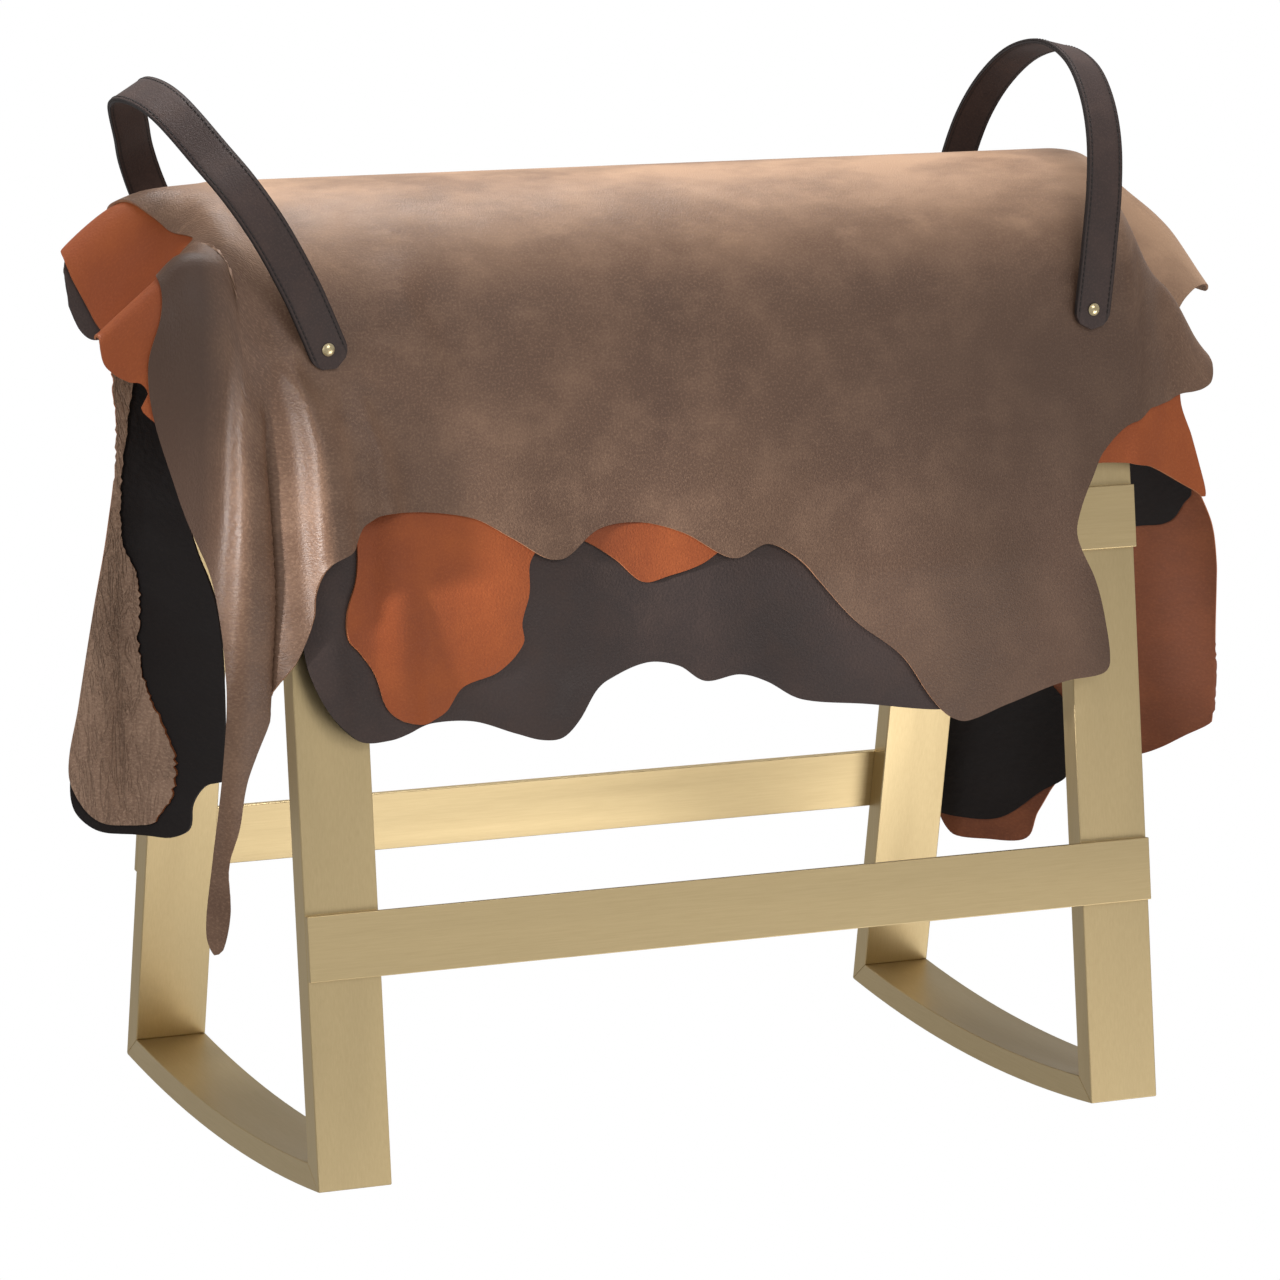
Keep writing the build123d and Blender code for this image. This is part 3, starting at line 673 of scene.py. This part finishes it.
def leather_grain():
    """Pebble, specks, clouding and wrinkles of leather, as heights and masks."""
    group, shades, entry, out = effect(
        "leather_grain",
        [("Vector", "NodeSocketVector"), ("Pebbles", "NodeSocketFloat")],
        ["Pebble", "Speck", "Cloud", "Mottle", "Wrinkle"],
    )
    place = entry.outputs["Vector"]
    cells = shades.add("ShaderNodeTexVoronoi", feature="SMOOTH_F1")
    shades.fill(cells, vector=place, scale=entry.outputs["Pebbles"])
    hollows = shades.math("MULTIPLY", cells.outputs["Distance"], -1.0)
    fine = shades.noise(place, scale=900.0, detail=2.0)
    creased = shades.stretch(place, (95.0, 16.0, 1.0))
    creases = shades.noise(creased, detail=4.0, roughness=0.6, distortion=1.6)
    from_crease = shades.math("ABSOLUTE", shades.math("SUBTRACT", creases, 0.5))
    shades.fill(
        out,
        pebble=shades.math("MULTIPLY_ADD", fine, 0.5, hollows),
        speck=shades.noise(place, scale=520.0, detail=2.0, roughness=0.7),
        cloud=shades.noise(place, scale=6.0),
        mottle=shades.noise(place, scale=26.0, detail=4.0, roughness=0.6),
        wrinkle=shades.span(from_crease, (0.0, 0.05)),
    )
    return group


def brushing():
    """Fine brush lines along one way, and slow changes of sheen."""
    group, shades, entry, out = effect(
        "brushing", [("Vector", "NodeSocketVector")], ["Lines", "Sheen"]
    )
    place = entry.outputs["Vector"]
    slow = shades.stretch(place, (0.02, 0.02, 0.02))
    shades.fill(out, lines=shades.noise(place, roughness=0.7), sheen=shades.noise(slow))
    return group


grain_group = leather_grain()
brush_group = brushing()


def hide_material(name, paints, pebbles, relief, wrinkles=0.0, roughness=0.62, sheen=0.2, specks=0.25):
    """Leather of a dark, a middle and a light paint, clouded and speckled over its pattern."""
    dark, mid, light = (linear(paint) for paint in paints)
    made, shades, shader = material(
        name, Sheen_Weight=sheen, Sheen_Roughness=0.4, Sheen_Tint=light, Specular_IOR_Level=0.35
    )
    place = shades.add("ShaderNodeUVMap", uv_map="pattern").outputs["UV"]
    grain = shades.add("ShaderNodeGroup", node_tree=grain_group, name="grain")
    shades.fill(grain, vector=place, pebbles=pebbles)
    mottle = grain.outputs["Mottle"]
    speck = grain.outputs["Speck"]
    wrinkle = grain.outputs["Wrinkle"]
    height = grain.outputs["Pebble"]
    colour = shades.mix(shades.span(grain.outputs["Cloud"], (0.3, 0.7)), dark, mid)
    colour = shades.mix(shades.span(mottle, (0.45, 0.75), (0.0, 0.35)), colour, light)
    colour = shades.mix(shades.span(speck, (0.5, 0.72), (0.0, specks)), colour, light)
    colour = shades.mix(shades.span(speck, (0.5, 0.28), (0.0, specks)), colour, dark)
    if wrinkles:
        height = shades.math("ADD", height, shades.math("MULTIPLY", wrinkle, wrinkles))
        # Painted shade in the wrinkles' creases
        colour = shades.mix(shades.span(wrinkle, (0.7, 0.0), (0.0, 0.3)), colour, dark)
    shades.fill(
        shader,
        base_color=colour,
        roughness=shades.span(mottle, (0.3, 0.7), (roughness - 0.06, roughness + 0.1)),
        normal=shades.bump(height, relief),
    )
    return made


# Wear and painted light of the top hide, in metres over its pattern: wear with a painted highlight
# over the crown, scuffs below it, and painted shade on the left tail and the right half. Each band
# runs from where the mark starts to where it is full. The crease down the left tail leans over the
# pattern by the tail's slant, and its line would pass the crown at the tail's crest.
rub_and_highlight_offset = 0.012
rub_and_highlight_band = (0.14, 0.01)
rub_and_highlight_left_band = (-0.42, -0.34)
scuff_band = (-0.24, -0.08)
tail_slant = 0.083
tail_crest = -0.3683
tail_band = (tail_crest - 0.002, tail_crest - 0.03)
tail_run_band = (-0.10, -0.19)
right_band = (0.0, 0.28)
right_run_band = (0.08, 0.22)
right_end_band = (0.42, 0.36)


def wear_and_painted_light(made, crown, shade):
    """Lighten a hide's crown as wear with a painted highlight, and paint shade on its left tail and right
    half.
    """
    shades, shader, place, colour = reopened(made)
    cloud = made.node_tree.nodes["grain"].outputs["Cloud"]
    x, run = shades.apart(place)
    # Wear with a painted highlight over the crown, fading out towards the left end
    from_crown = shades.math("ABSOLUTE", shades.math("ADD", run, rub_and_highlight_offset))
    patches = shades.noise(shades.stretch(place, (7.0, 16.0, 1.0)), detail=5.0, roughness=0.6)
    rubbed_and_lit = shades.product(
        shades.span(from_crown, rub_and_highlight_band),
        shades.span(patches, (0.4, 0.6), (0.4, 1.0)),
        shades.span(x, rub_and_highlight_left_band, (0.0, 0.9)),
    )
    colour = shades.mix(rubbed_and_lit, colour, crown)
    scuffs = shades.noise(shades.stretch(place, (20.0, 34.0, 1.0)), detail=4.0, roughness=0.7)
    scuffed = shades.product(
        shades.span(scuffs, (0.55, 0.75), (0.0, 0.3)),
        shades.span(run, scuff_band),
    )
    colour = shades.mix(scuffed, colour, crown)
    # Painted shade over the left tail, beyond the crease down it
    beyond = shades.math("MULTIPLY_ADD", run, -tail_slant, x)
    tail = shades.product(
        shades.span(beyond, tail_band, (0.0, 0.9)),
        shades.span(run, tail_run_band),
    )
    colour = shades.mix(tail, colour, shade)
    # Painted shade over the right half of the front, lifting towards the right end and broken by clouds
    right = shades.product(
        shades.span(x, right_band, (0.0, 0.66)),
        shades.span(shades.math("ABSOLUTE", run), right_run_band),
        shades.span(x, right_end_band),
        shades.span(cloud, (0.3, 0.6), (0.7, 1.0)),
    )
    shades.fill(shader, base_color=shades.mix(right, colour, shade))


def brushed_metal(name, paints, roughness, scales):
    """Satin metal of a deep and a light paint, brushed along the way of the small scale."""
    deep, light = (linear(paint) for paint in paints)
    made, shades, shader = material(name, Metallic=1.0)
    place = shades.add("ShaderNodeTexCoord").outputs["Object"]
    brush = shades.add("ShaderNodeGroup", node_tree=brush_group)
    shades.fill(brush, vector=shades.stretch(place, scales))
    lines = brush.outputs["Lines"]
    shades.fill(
        shader,
        base_color=shades.mix(shades.span(lines, (0.3, 0.7)), deep, light),
        roughness=shades.span(brush.outputs["Sheen"], (0.3, 0.7), (roughness - 0.05, roughness + 0.07)),
        normal=shades.bump(lines, 0.02),
    )
    return made


flesh_paints = ((132, 105, 87), (168, 136, 114), (196, 164, 140))
nubuck = hide_material(
    "nubuck", ((88, 64, 50), (109, 82, 64), (148, 117, 94)), pebbles=850, relief=0.24,
    roughness=0.5, sheen=0.3, specks=0.4,
)
# The crown colour is wear with a painted highlight; the shade colour is painted shade
wear_and_painted_light(nubuck, crown=linear((184, 148, 119)), shade=linear((67, 48, 37)))
nubuck_flesh = hide_material("nubuck_flesh", flesh_paints, pebbles=300, relief=0.5)
cognac = hide_material(
    "cognac", ((128, 60, 24), (150, 73, 29), (170, 92, 46)), pebbles=700, relief=0.2
)
cognac_flesh = hide_material(
    "cognac_flesh", ((106, 58, 36), (134, 76, 48), (160, 96, 62)), pebbles=300, relief=0.5
)
espresso = hide_material(
    "espresso", ((46, 35, 32), (62, 48, 44), (82, 65, 58)), pebbles=600, relief=0.3, sheen=0.15
)
espresso_flesh = hide_material(
    "espresso_flesh", ((24, 19, 18), (33, 27, 26), (40, 33, 31)), pebbles=260, relief=0.6,
    roughness=0.85, sheen=0.0,
)
inner_grain = hide_material(
    "inner_grain", ((66, 46, 38), (88, 64, 52), (110, 84, 70)), pebbles=420, relief=0.3
)
inner_flesh = hide_material(
    "inner_flesh", flesh_paints, pebbles=260, relief=1.0, wrinkles=0.6, roughness=0.75, specks=0.6
)
cut_brown = hide_material(
    "cut_brown", ((120, 84, 62), (150, 108, 80), (178, 138, 108)), pebbles=900, relief=0.3
)
cut_orange = hide_material(
    "cut_orange", ((150, 84, 48), (180, 106, 64), (204, 138, 94)), pebbles=900, relief=0.3
)
cut_dark = hide_material(
    "cut_dark", ((30, 25, 24), (44, 36, 34), (66, 54, 50)), pebbles=900, relief=0.3
)

# Finish of each hide's outer side, flesh side and cut edge, and its material slot
hide_finishes = {
    "inner_brown": (inner_grain, inner_flesh, cut_orange),
    "dark": (espresso, espresso_flesh, cut_dark),
    "orange": (cognac, cognac_flesh, cut_orange),
    "top": (nubuck, nubuck_flesh, cut_brown),
}

# Widest angle between faces that are shaded as one surface on leather
leather_smooth = radians(50)


def mesh_piece(name, verts, faces, finishes):
    """Object at the origin from places in millimetres."""
    data = bpy.data.meshes.new(name)
    data.from_pydata([tuple(v) for v in np.asarray(verts) * MM], [], faces)
    for finish in finishes:
        data.materials.append(finish)
    piece = bpy.data.objects.new(name, data)
    bpy.context.scene.collection.objects.link(piece)
    return piece


def only(piece):
    """Select one piece alone, for the operators."""
    bpy.ops.object.select_all(action="DESELECT")
    piece.select_set(True)
    bpy.context.view_layer.objects.active = piece


def face_outwards(piece):
    """Turn every face of a closed mesh outwards."""
    shape = bmesh.new()
    shape.from_mesh(piece.data)
    bmesh.ops.recalc_face_normals(shape, faces=shape.faces)
    shape.to_mesh(piece.data)
    shape.free()


# The torn stretch of the inner hide's back flap on the left: its sides in X, the run at which it
# starts, and how far the edge strays
torn_left = -431
torn_right = -385
torn_start = 230
torn_depth = 0.9

# Settings of the triangulation: keep triangles within the outline, and join points this near
inside_only = 1
same_point = 0.001


def cut_blank(loop):
    """Pattern points and triangles that fill an outline."""
    count = len(loop)
    points = [Vector(point) for point in np.concatenate((loop, pattern_grid(loop)))]
    edges = [(i, (i + 1) % count) for i in range(count)]
    flat, _, faces, *_ = geometry.delaunay_2d_cdt(points, edges, [], inside_only, same_point)
    return np.array([tuple(point) for point in flat]), faces


def thicken(piece):
    """Give a hide its thickness, with a flesh side below and a cut edge all round."""
    only(piece)
    solid = piece.modifiers.new("thickness", "SOLIDIFY")
    solid.thickness = hide_thickness * MM
    solid.offset = -1
    solid.material_offset = 1
    solid.material_offset_rim = 2
    bpy.ops.object.modifier_apply(modifier=solid.name)
    bpy.ops.object.shade_smooth_by_angle(angle=leather_smooth)


def hide(name, layer, front, right, back, left):
    """One hide: cut to its outline, laid over the drape in its layer, and given its thickness."""
    loop = rounded_outline(on_side(front, -1) + right + on_side(back, 1) + left, hem_step)
    if name == "inner_brown":
        torn = (loop[:, 0] > torn_left) & (loop[:, 0] < torn_right) & (loop[:, 1] > torn_start)
        loop[torn, 0] += rng.uniform(-torn_depth, torn_depth, torn.sum())
    flat, faces = cut_blank(loop)
    x, p = flat[:, 0], flat[:, 1]
    depth = layer_gap + layer * (hide_thickness + layer_gap) + hide_thickness
    if name == "top":
        depth = depth + sum(fold_relief(x, p, line) for line in top_folds)[:, None]
    places = read(draped, x, p) + read(draped_ways, x, p) * depth
    piece = mesh_piece(f"{name}_leather", places, faces, hide_finishes[name])
    uv = piece.data.uv_layers.new(name="pattern")
    corner_points = np.empty(len(piece.data.loops), int)
    piece.data.loops.foreach_get("vertex_index", corner_points)
    uv.data.foreach_set("uv", (flat[corner_points] * MM).ravel())
    thicken(piece)
    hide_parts(f"{name}_hide")
    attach(piece, "stool")


for layer, (name, *edges) in enumerate(hides):
    hide(name, layer, *edges)

# Frame: each tube and bar is the modelled one with its edges eased. Its brush lines are fine
# across it and long along it.

brass = {"paints": ((187, 166, 125), (194, 173, 132)), "roughness": 0.42}
brass_legs = brushed_metal("brass_legs", scales=(900.0, 900.0, 30.0), **brass)
brass_bars = brushed_metal("brass_bars", scales=(30.0, 900.0, 900.0), **brass)
brass_rockers = brushed_metal("brass_rockers", scales=(900.0, 30.0, 900.0), **brass)
rivet_brass = brushed_metal("rivet_brass", ((196, 176, 132), (220, 204, 166)), 0.28, [400.0] * 3)
screw_steel = brushed_metal("screw_steel", ((160, 160, 164), (190, 190, 192)), 0.3, [500.0] * 3)
tube_easing = 0.8
bar_easing = 0.6
pad_easing = 5.0
weld_distance = 0.01
flat_joint = radians(0.5)
sharp_edge = radians(35)


def eased(node, name, finish, width, segments=2, flat_angle=20):
    """Copy of a modelled piece with its flat faces joined and its sharp edges rounded."""
    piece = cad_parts[node].copy()
    piece.data = piece.data.copy()
    piece.name = name
    for key in list(piece.keys()):
        del piece[key]
    piece.parent = None
    bpy.context.scene.collection.objects.link(piece)
    shape = bmesh.new()
    shape.from_mesh(piece.data)
    bmesh.ops.remove_doubles(shape, verts=shape.verts, dist=weld_distance * MM)
    bmesh.ops.dissolve_limit(shape, angle_limit=flat_joint, verts=shape.verts, edges=shape.edges)
    shape.to_mesh(piece.data)
    shape.free()
    piece.data.materials.clear()
    piece.data.materials.append(finish)
    only(piece)
    bevel = piece.modifiers.new("easing", "BEVEL")
    bevel.width = width * MM
    bevel.segments = segments
    bevel.limit_method = "ANGLE"
    bevel.angle_limit = sharp_edge
    bpy.ops.object.modifier_apply(modifier=bevel.name)
    bpy.ops.object.shade_smooth_by_angle(angle=radians(flat_angle))
    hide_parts(node)
    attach(piece, "stool")
    return piece


def brass_tube(node, finish):
    eased(node, f"{node}_tube", finish, tube_easing)


for side in ("left", "right"):
    for depth in ("front", "back"):
        brass_tube(f"{depth}_{side}_leg", brass_legs)
    brass_tube(f"{side}_rocker", brass_rockers)
    brass_tube(f"{side}_arch", brass_rockers)
for depth in ("front", "back"):
    for level in ("lower", "upper"):
        bar = eased(f"{depth}_{level}_rail", f"{depth}_{level}_bar", brass_bars, bar_easing)

# Seat inside: board, foam pad, tabs and screws


def board_material():
    """Birch with its grain along the seat."""
    made, shades, shader = material("birch_board", Roughness=0.6)
    place = shades.stretch(shades.add("ShaderNodeTexCoord").outputs["Object"], (4.0, 120.0, 120.0))
    grain = shades.noise(place, detail=4.0, roughness=0.6, distortion=0.5)
    wood = shades.mix(grain, linear((190, 152, 106)), linear((214, 182, 138)))
    shades.fill(shader, base_color=wood, normal=shades.bump(grain, 0.1))
    return made


def foam_material():
    """Open-celled foam."""
    made, shades, shader = material("seat_foam", Roughness=0.95)
    place = shades.add("ShaderNodeTexCoord").outputs["Object"]
    cells = shades.noise(place, scale=700.0, detail=2.0, roughness=0.6)
    foam = shades.mix(cells, linear((196, 186, 160)), linear((226, 218, 196)))
    shades.fill(shader, base_color=foam, normal=shades.bump(cells, 0.3))
    return made


pad = eased("seat_pad", "foam_pad", foam_material(), pad_easing, segments=3, flat_angle=35)
for node, finish in (
    ("seat_board", board_material()),
    ("seat_tabs", brass_bars),
    ("seat_screws", screw_steel),
    ("left_handle_rivets", rivet_brass),
    ("right_handle_rivets", rivet_brass),
):
    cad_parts[node].data.materials.clear()
    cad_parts[node].data.materials.append(finish)

# Strap handles: width, thickness of one ply and easing of its edges, radius of the rounded feet
# with the least rise that keeps their ends open, and spacing along the loop. Then half of each
# loop's middle line from the rivet up, as depth and height in the leaning plane of the loop.

strap_width = 31
ply_thickness = 2
ply_easing = 0.5
strap_round = 15
least_round = 0.3
strap_step = 4
spline_samples = 24
left_loop = [
    (132.5, -16), (132.5, 0), (135.5, 28), (137.2, 55), (131, 100), (113, 135), (88, 161), (48, 199),
    (0, 208.7),
]
right_loop = [
    (132.5, -16), (132.5, 0), (132, 25), (130.2, 50), (124.5, 92), (110, 132), (84, 165), (47.5, 189),
    (0, 198.5),
]

# Each handle's end of the seat along X, lean outwards, half loop and the share of its height by
# which it bows out at the top
handle_facts = {
    "left": (-1, radians(25.7), left_loop, 0.05),
    "right": (1, radians(5.35), right_loop, 0.07),
}


def run_along(places):
    """Distance from the first of these places to each one."""
    return np.concatenate(([0], np.cumsum(np.linalg.norm(np.diff(places, axis=0), axis=1))))


def smooth_line(points, step):
    """Open smooth curve through given points, in even steps."""
    points = np.array(points, float)
    padded = np.vstack((2 * points[0] - points[1], points, 2 * points[-1] - points[-2]))
    dense = []
    for before, start, end, after in zip(padded, padded[1:], padded[2:], padded[3:]):
        first = end - before
        second = 2 * before - 5 * start + 4 * end - after
        third = 3 * start - before - 3 * end + after
        for t in np.linspace(0, 1, spline_samples, endpoint=False):
            dense.append(0.5 * (2 * start + first * t + second * t**2 + third * t**3))
    dense = np.array(dense + [points[-1]])
    run = run_along(dense)
    places = np.linspace(0, run[-1], max(2, round(run[-1] / step)) + 1)
    return np.column_stack([np.interp(places, run, dense[:, k]) for k in range(dense.shape[1])])


def strap_frames(side):
    """Middle line of a strap in space, with its width and outward ways, front foot to back foot."""
    sign, lean, half, bow = handle_facts[side]
    loop = half + [(-u, h) for u, h in half[-2::-1]]
    line = smooth_line([(-u, h) for u, h in loop], strap_step)
    height = half[-1][1]
    up = np.array((sign * sin(lean), 0, cos(lean)))
    out = np.array((sign * cos(lean), 0, -sin(lean)))
    foot = np.array((sign * rivet_x, 0, spring_height))
    h = np.maximum(line[:, 1], 0)
    bowed = (bow * h**2 / height)[:, None] * out
    places = foot + line[:, :1] * (0, 1, 0) + line[:, 1:] * up + bowed
    tangents = np.gradient(places, axis=0)
    tangents /= np.linalg.norm(tangents, axis=1)[:, None]
    slopes = 2 * bow * h / height
    widths = out - slopes[:, None] * up
    widths -= (widths * tangents).sum(1)[:, None] * tangents
    widths /= np.linalg.norm(widths, axis=1)[:, None]
    faces = np.cross(tangents, widths)
    faces *= np.sign((faces * (places - foot - up * height / 2)).sum(1))[:, None]
    return places, widths, faces, run_along(places)


def ply_section(half, thick):
    """Points round a ply's section, from one edge over its outer face and back under it."""
    corner = ply_easing * 0.3
    outer = [
        (-half + corner, thick - corner), (-half + ply_easing, thick), (-half * 0.5, thick), (0, thick),
        (half * 0.5, thick), (half - ply_easing, thick), (half - corner, thick - corner),
    ]
    inner = [(across, -up) for across, up in reversed(outer)]
    return [(-half, 0)] + outer + [(half, 0)] + inner


def strap_ply(side, name, inner, outer, finish):
    """One ply of a strap: a band with eased edges and rounded feet."""
    places, widths, faces, run = strap_frames(side)
    middle = (inner + outer) / 2
    thick = (outer - inner) / 2
    verts = []
    uvs = []
    rings = []
    for place, width, face, s in zip(places, widths, faces, run):
        from_end = min(s, run[-1] - s)
        half = strap_width / 2
        if from_end < strap_round:
            drawn_in = max(strap_round**2 - (strap_round - from_end) ** 2, least_round)
            half = half - strap_round + sqrt(drawn_in)
        section = ply_section(half, thick)
        rings.append(range(len(verts), len(verts) + len(section)))
        verts += [place + width * across + face * (middle + up) for across, up in section]
        uvs += [(across, s) for across, _ in section]
    quads = []
    for ring, following in zip(rings, rings[1:]):
        for k in range(len(ring)):
            after = (k + 1) % len(ring)
            quads.append((ring[k], ring[after], following[after], following[k]))
    quads.append(tuple(reversed(rings[0])))
    quads.append(tuple(rings[-1]))
    piece = mesh_piece(name, verts, quads, [finish])
    uv = piece.data.uv_layers.new(name="pattern")
    for corner in piece.data.loops:
        uv.data[corner.index].uv = Vector(uvs[corner.vertex_index]) * MM
    face_outwards(piece)
    only(piece)
    bpy.ops.object.shade_smooth_by_angle(angle=leather_smooth)
    return piece


# Stitches: pitch, length and radius, distance from the strap's edge, how much deeper those of the
# lining sit, to swing clear of the hide, and each ring's place and width in shares of a stitch
stitch_pitch = 4.6
stitch_length = 3.2
stitch_radius = 0.55
stitch_inset = 2.9
inner_sink = 0.35
stitch_ring_shares = ((-0.5, 0.3), (-0.32, 1), (0.32, 1), (0.5, 0.3))
stitch_sides = 6

# Darker lines of a strap, along each row of stitches and at its painted edge, in metres from the row of
# stitches and from its middle
row_band = (0.0013, 0.0004)
rim_band = (0.0140, 0.0151)
dark_line_colour = linear((30, 22, 20))


def strap_material(name, paints):
    """Nubuck strap with darker painted edges and a darker line along each row of stitches."""
    made = hide_material(name, paints, pebbles=800, relief=0.16, sheen=0.12)
    shades, shader, place, colour = reopened(made)
    across = shades.math("ABSOLUTE", shades.apart(place)[0])
    stitched = (strap_width / 2 - stitch_inset) * MM
    from_row = shades.math("ABSOLUTE", shades.math("SUBTRACT", across, stitched))
    colour = shades.mix(shades.span(from_row, row_band, (0.0, 0.6)), colour, dark_line_colour)
    shades.fill(shader, base_color=shades.mix(shades.span(across, rim_band), colour, dark_line_colour))
    return made


def thread_material():
    """Dark waxed thread."""
    made, shades, shader = material("stitch_thread", Roughness=0.8)
    place = shades.add("ShaderNodeTexCoord").outputs["Object"]
    twist = shades.noise(place, scale=1500.0, detail=1.0)
    shades.fill(shader, base_color=shades.mix(twist, linear((18, 13, 12)), linear((38, 29, 26))))
    return made


strap_leather = strap_material("strap_leather", ((50, 38, 35), (64, 49, 45), (92, 72, 64)))
thread = thread_material()


def stitching(side):
    """Two rows of stitches on both faces of a strap, sunk half into the leather."""
    *fields, run = strap_frames(side)
    turns = [2 * pi * k / stitch_sides for k in range(stitch_sides)]
    row = strap_width / 2 - stitch_inset
    verts = []
    quads = []
    for s in np.arange(strap_round, run[-1] - strap_round, stitch_pitch):
        place, width, face = (
            np.array([np.interp(s, run, field[:, k]) for k in range(3)]) for field in fields
        )
        ahead = np.array([np.interp(s + 1, run, fields[0][:, k]) for k in range(3)]) - place
        along = ahead / np.linalg.norm(ahead)
        for across in (-row, row):
            for level in (ply_thickness, -ply_thickness + inner_sink):
                centre = place + width * across + face * level
                base = len(verts)
                for end, scale in stitch_ring_shares:
                    middle = centre + along * end * stitch_length
                    verts += [
                        middle + (width * cos(turn) + face * sin(turn)) * stitch_radius * scale
                        for turn in turns
                    ]
                last = len(verts) - stitch_sides
                for first in range(base, last, stitch_sides):
                    second = first + stitch_sides
                    for k in range(stitch_sides):
                        after = (k + 1) % stitch_sides
                        quads.append((first + k, first + after, second + after, second + k))
                quads.append(tuple(reversed(range(base, base + stitch_sides))))
                quads.append(tuple(range(last, last + stitch_sides)))
    piece = mesh_piece(f"{side}_strap_stitching", verts, quads, [thread])
    face_outwards(piece)
    return piece


for side in ("left", "right"):
    strap = strap_ply(side, f"{side}_outer_strap", 0, ply_thickness, strap_leather)
    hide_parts(f"{side}_handle_strap")
    lining = strap_ply(side, f"{side}_strap_lining", -ply_thickness, 0, strap_leather)
    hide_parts(f"{side}_handle_lining")
    stitches = stitching(side)
    for piece in (strap, lining, stitches):
        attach(piece, f"{side}_handle")

# Studio, in metres: plain white all round, soft lights and the photograph's camera


def hang_light(name, data, place, target):
    """Put a light at a place, turned towards its target."""
    light = bpy.data.objects.new(name, data)
    light.location = place
    light.rotation_euler = (Vector(target) - Vector(place)).to_track_quat("-Z", "Y").to_euler()
    bpy.context.scene.collection.objects.link(light)


def soft_light(name, place, target, size, power):
    """Rectangular light panel."""
    data = bpy.data.lights.new(name, "AREA")
    data.shape = "RECTANGLE"
    data.size, data.size_y = size
    data.energy = power
    hang_light(name, data, place, target)


def fold_light(place, target):
    """Narrow beam that picks out the folds beside the left strap."""
    data = bpy.data.lights.new("fold_light", "SPOT")
    data.energy = 400
    data.spot_size = radians(8)
    data.spot_blend = 1
    data.shadow_soft_size = 0.08
    hang_light("fold_light", data, place, target)


seat_middle = (0, 0, 0.5)
seat_top = (0, 0, 0.7)
left_side = (-0.1, -0.1, 0.5)
left_folds = (-0.335, -0.21, 0.51)
soft_light("overhead", place=(0.0, 0.45, 2.4), target=seat_top, size=(1.2, 0.8), power=42)
soft_light("raking", place=(-2.1, -0.75, 1.05), target=left_side, size=(0.35, 0.5), power=8)
soft_light("front", place=(0.3, -3.2, 2.6), target=seat_middle, size=(1.6, 1.2), power=29)
soft_light("from_below", place=(1.6, -2.4, -1.1), target=seat_middle, size=(2.2, 1.4), power=34)
fold_light(place=(-2.0, -0.42, 0.75), target=left_folds)

floor_side = 9
floor_height = -0.001
surrounding_light = 0.5
seen_white = 1.0


def white_floor():
    """Plain floor that shows as white as the photograph's, and lets the low light through."""
    bpy.ops.mesh.primitive_plane_add(size=floor_side, location=(0, 0, floor_height))
    floor = bpy.context.active_object
    floor.name = "floor"
    made = bpy.data.materials.new("floor_white")
    made.use_nodes = True
    shades = Shades(made.node_tree)
    shades.tree.nodes.remove(shades.tree.nodes["Principled BSDF"])
    rays = shades.add("ShaderNodeLightPath")
    clear = shades.add("ShaderNodeBsdfTransparent")
    white = shades.add("ShaderNodeEmission")
    seen = shades.add("ShaderNodeMixShader")
    entries = (rays.outputs["Is Camera Ray"], clear.outputs[0], white.outputs[0])
    for socket, entry in zip(seen.inputs, entries):
        shades.feed(socket, entry)
    shades.fill(shades.tree.nodes["Material Output"], surface=seen.outputs[0])
    floor.data.materials.append(made)


def white_world():
    """White seen by the camera, and a dimmer one that lights the stool."""
    world = bpy.data.worlds.new("studio_world")
    bpy.context.scene.world = world
    world.use_nodes = True
    shades = Shades(world.node_tree)
    rays = shades.add("ShaderNodeLightPath").outputs["Is Camera Ray"]
    strength = shades.span(rays, (0.0, 1.0), (surrounding_light, seen_white))
    shades.fill(world.node_tree.nodes["Background"], strength=strength, color=(1, 1, 1, 1))


white_floor()
white_world()

# Camera, fitted to the frame's corners in the photograph

camera_place = Vector((-1951.418, -4201.180, 1306.690)) * MM
camera_yaw = radians(24.87394)
camera_pitch = radians(-11.38005)
camera_roll = radians(0.87150)
photo_side = 1280
focal_pixels = 5898.41

ahead = Vector((
    sin(camera_yaw) * cos(camera_pitch),
    cos(camera_yaw) * cos(camera_pitch),
    sin(camera_pitch),
))
level = Vector((cos(camera_yaw), -sin(camera_yaw), 0))
upward = level.cross(ahead)
right_way = cos(camera_roll) * level + sin(camera_roll) * upward
up_way = -sin(camera_roll) * level + cos(camera_roll) * upward
camera_data = bpy.data.cameras.new("camera")
camera_data.sensor_width = 36
camera_data.lens = camera_data.sensor_width * focal_pixels / photo_side
camera_data.clip_start = 0.1
camera_data.clip_end = 100
camera = bpy.data.objects.new("camera", camera_data)
camera.matrix_world = Matrix((
    (right_way.x, up_way.x, -ahead.x, camera_place.x),
    (right_way.y, up_way.y, -ahead.y, camera_place.y),
    (right_way.z, up_way.z, -ahead.z, camera_place.z),
    (0, 0, 0, 1),
))
bpy.context.scene.collection.objects.link(camera)
bpy.context.scene.camera = camera
bpy.context.scene.view_settings.view_transform = "Standard"
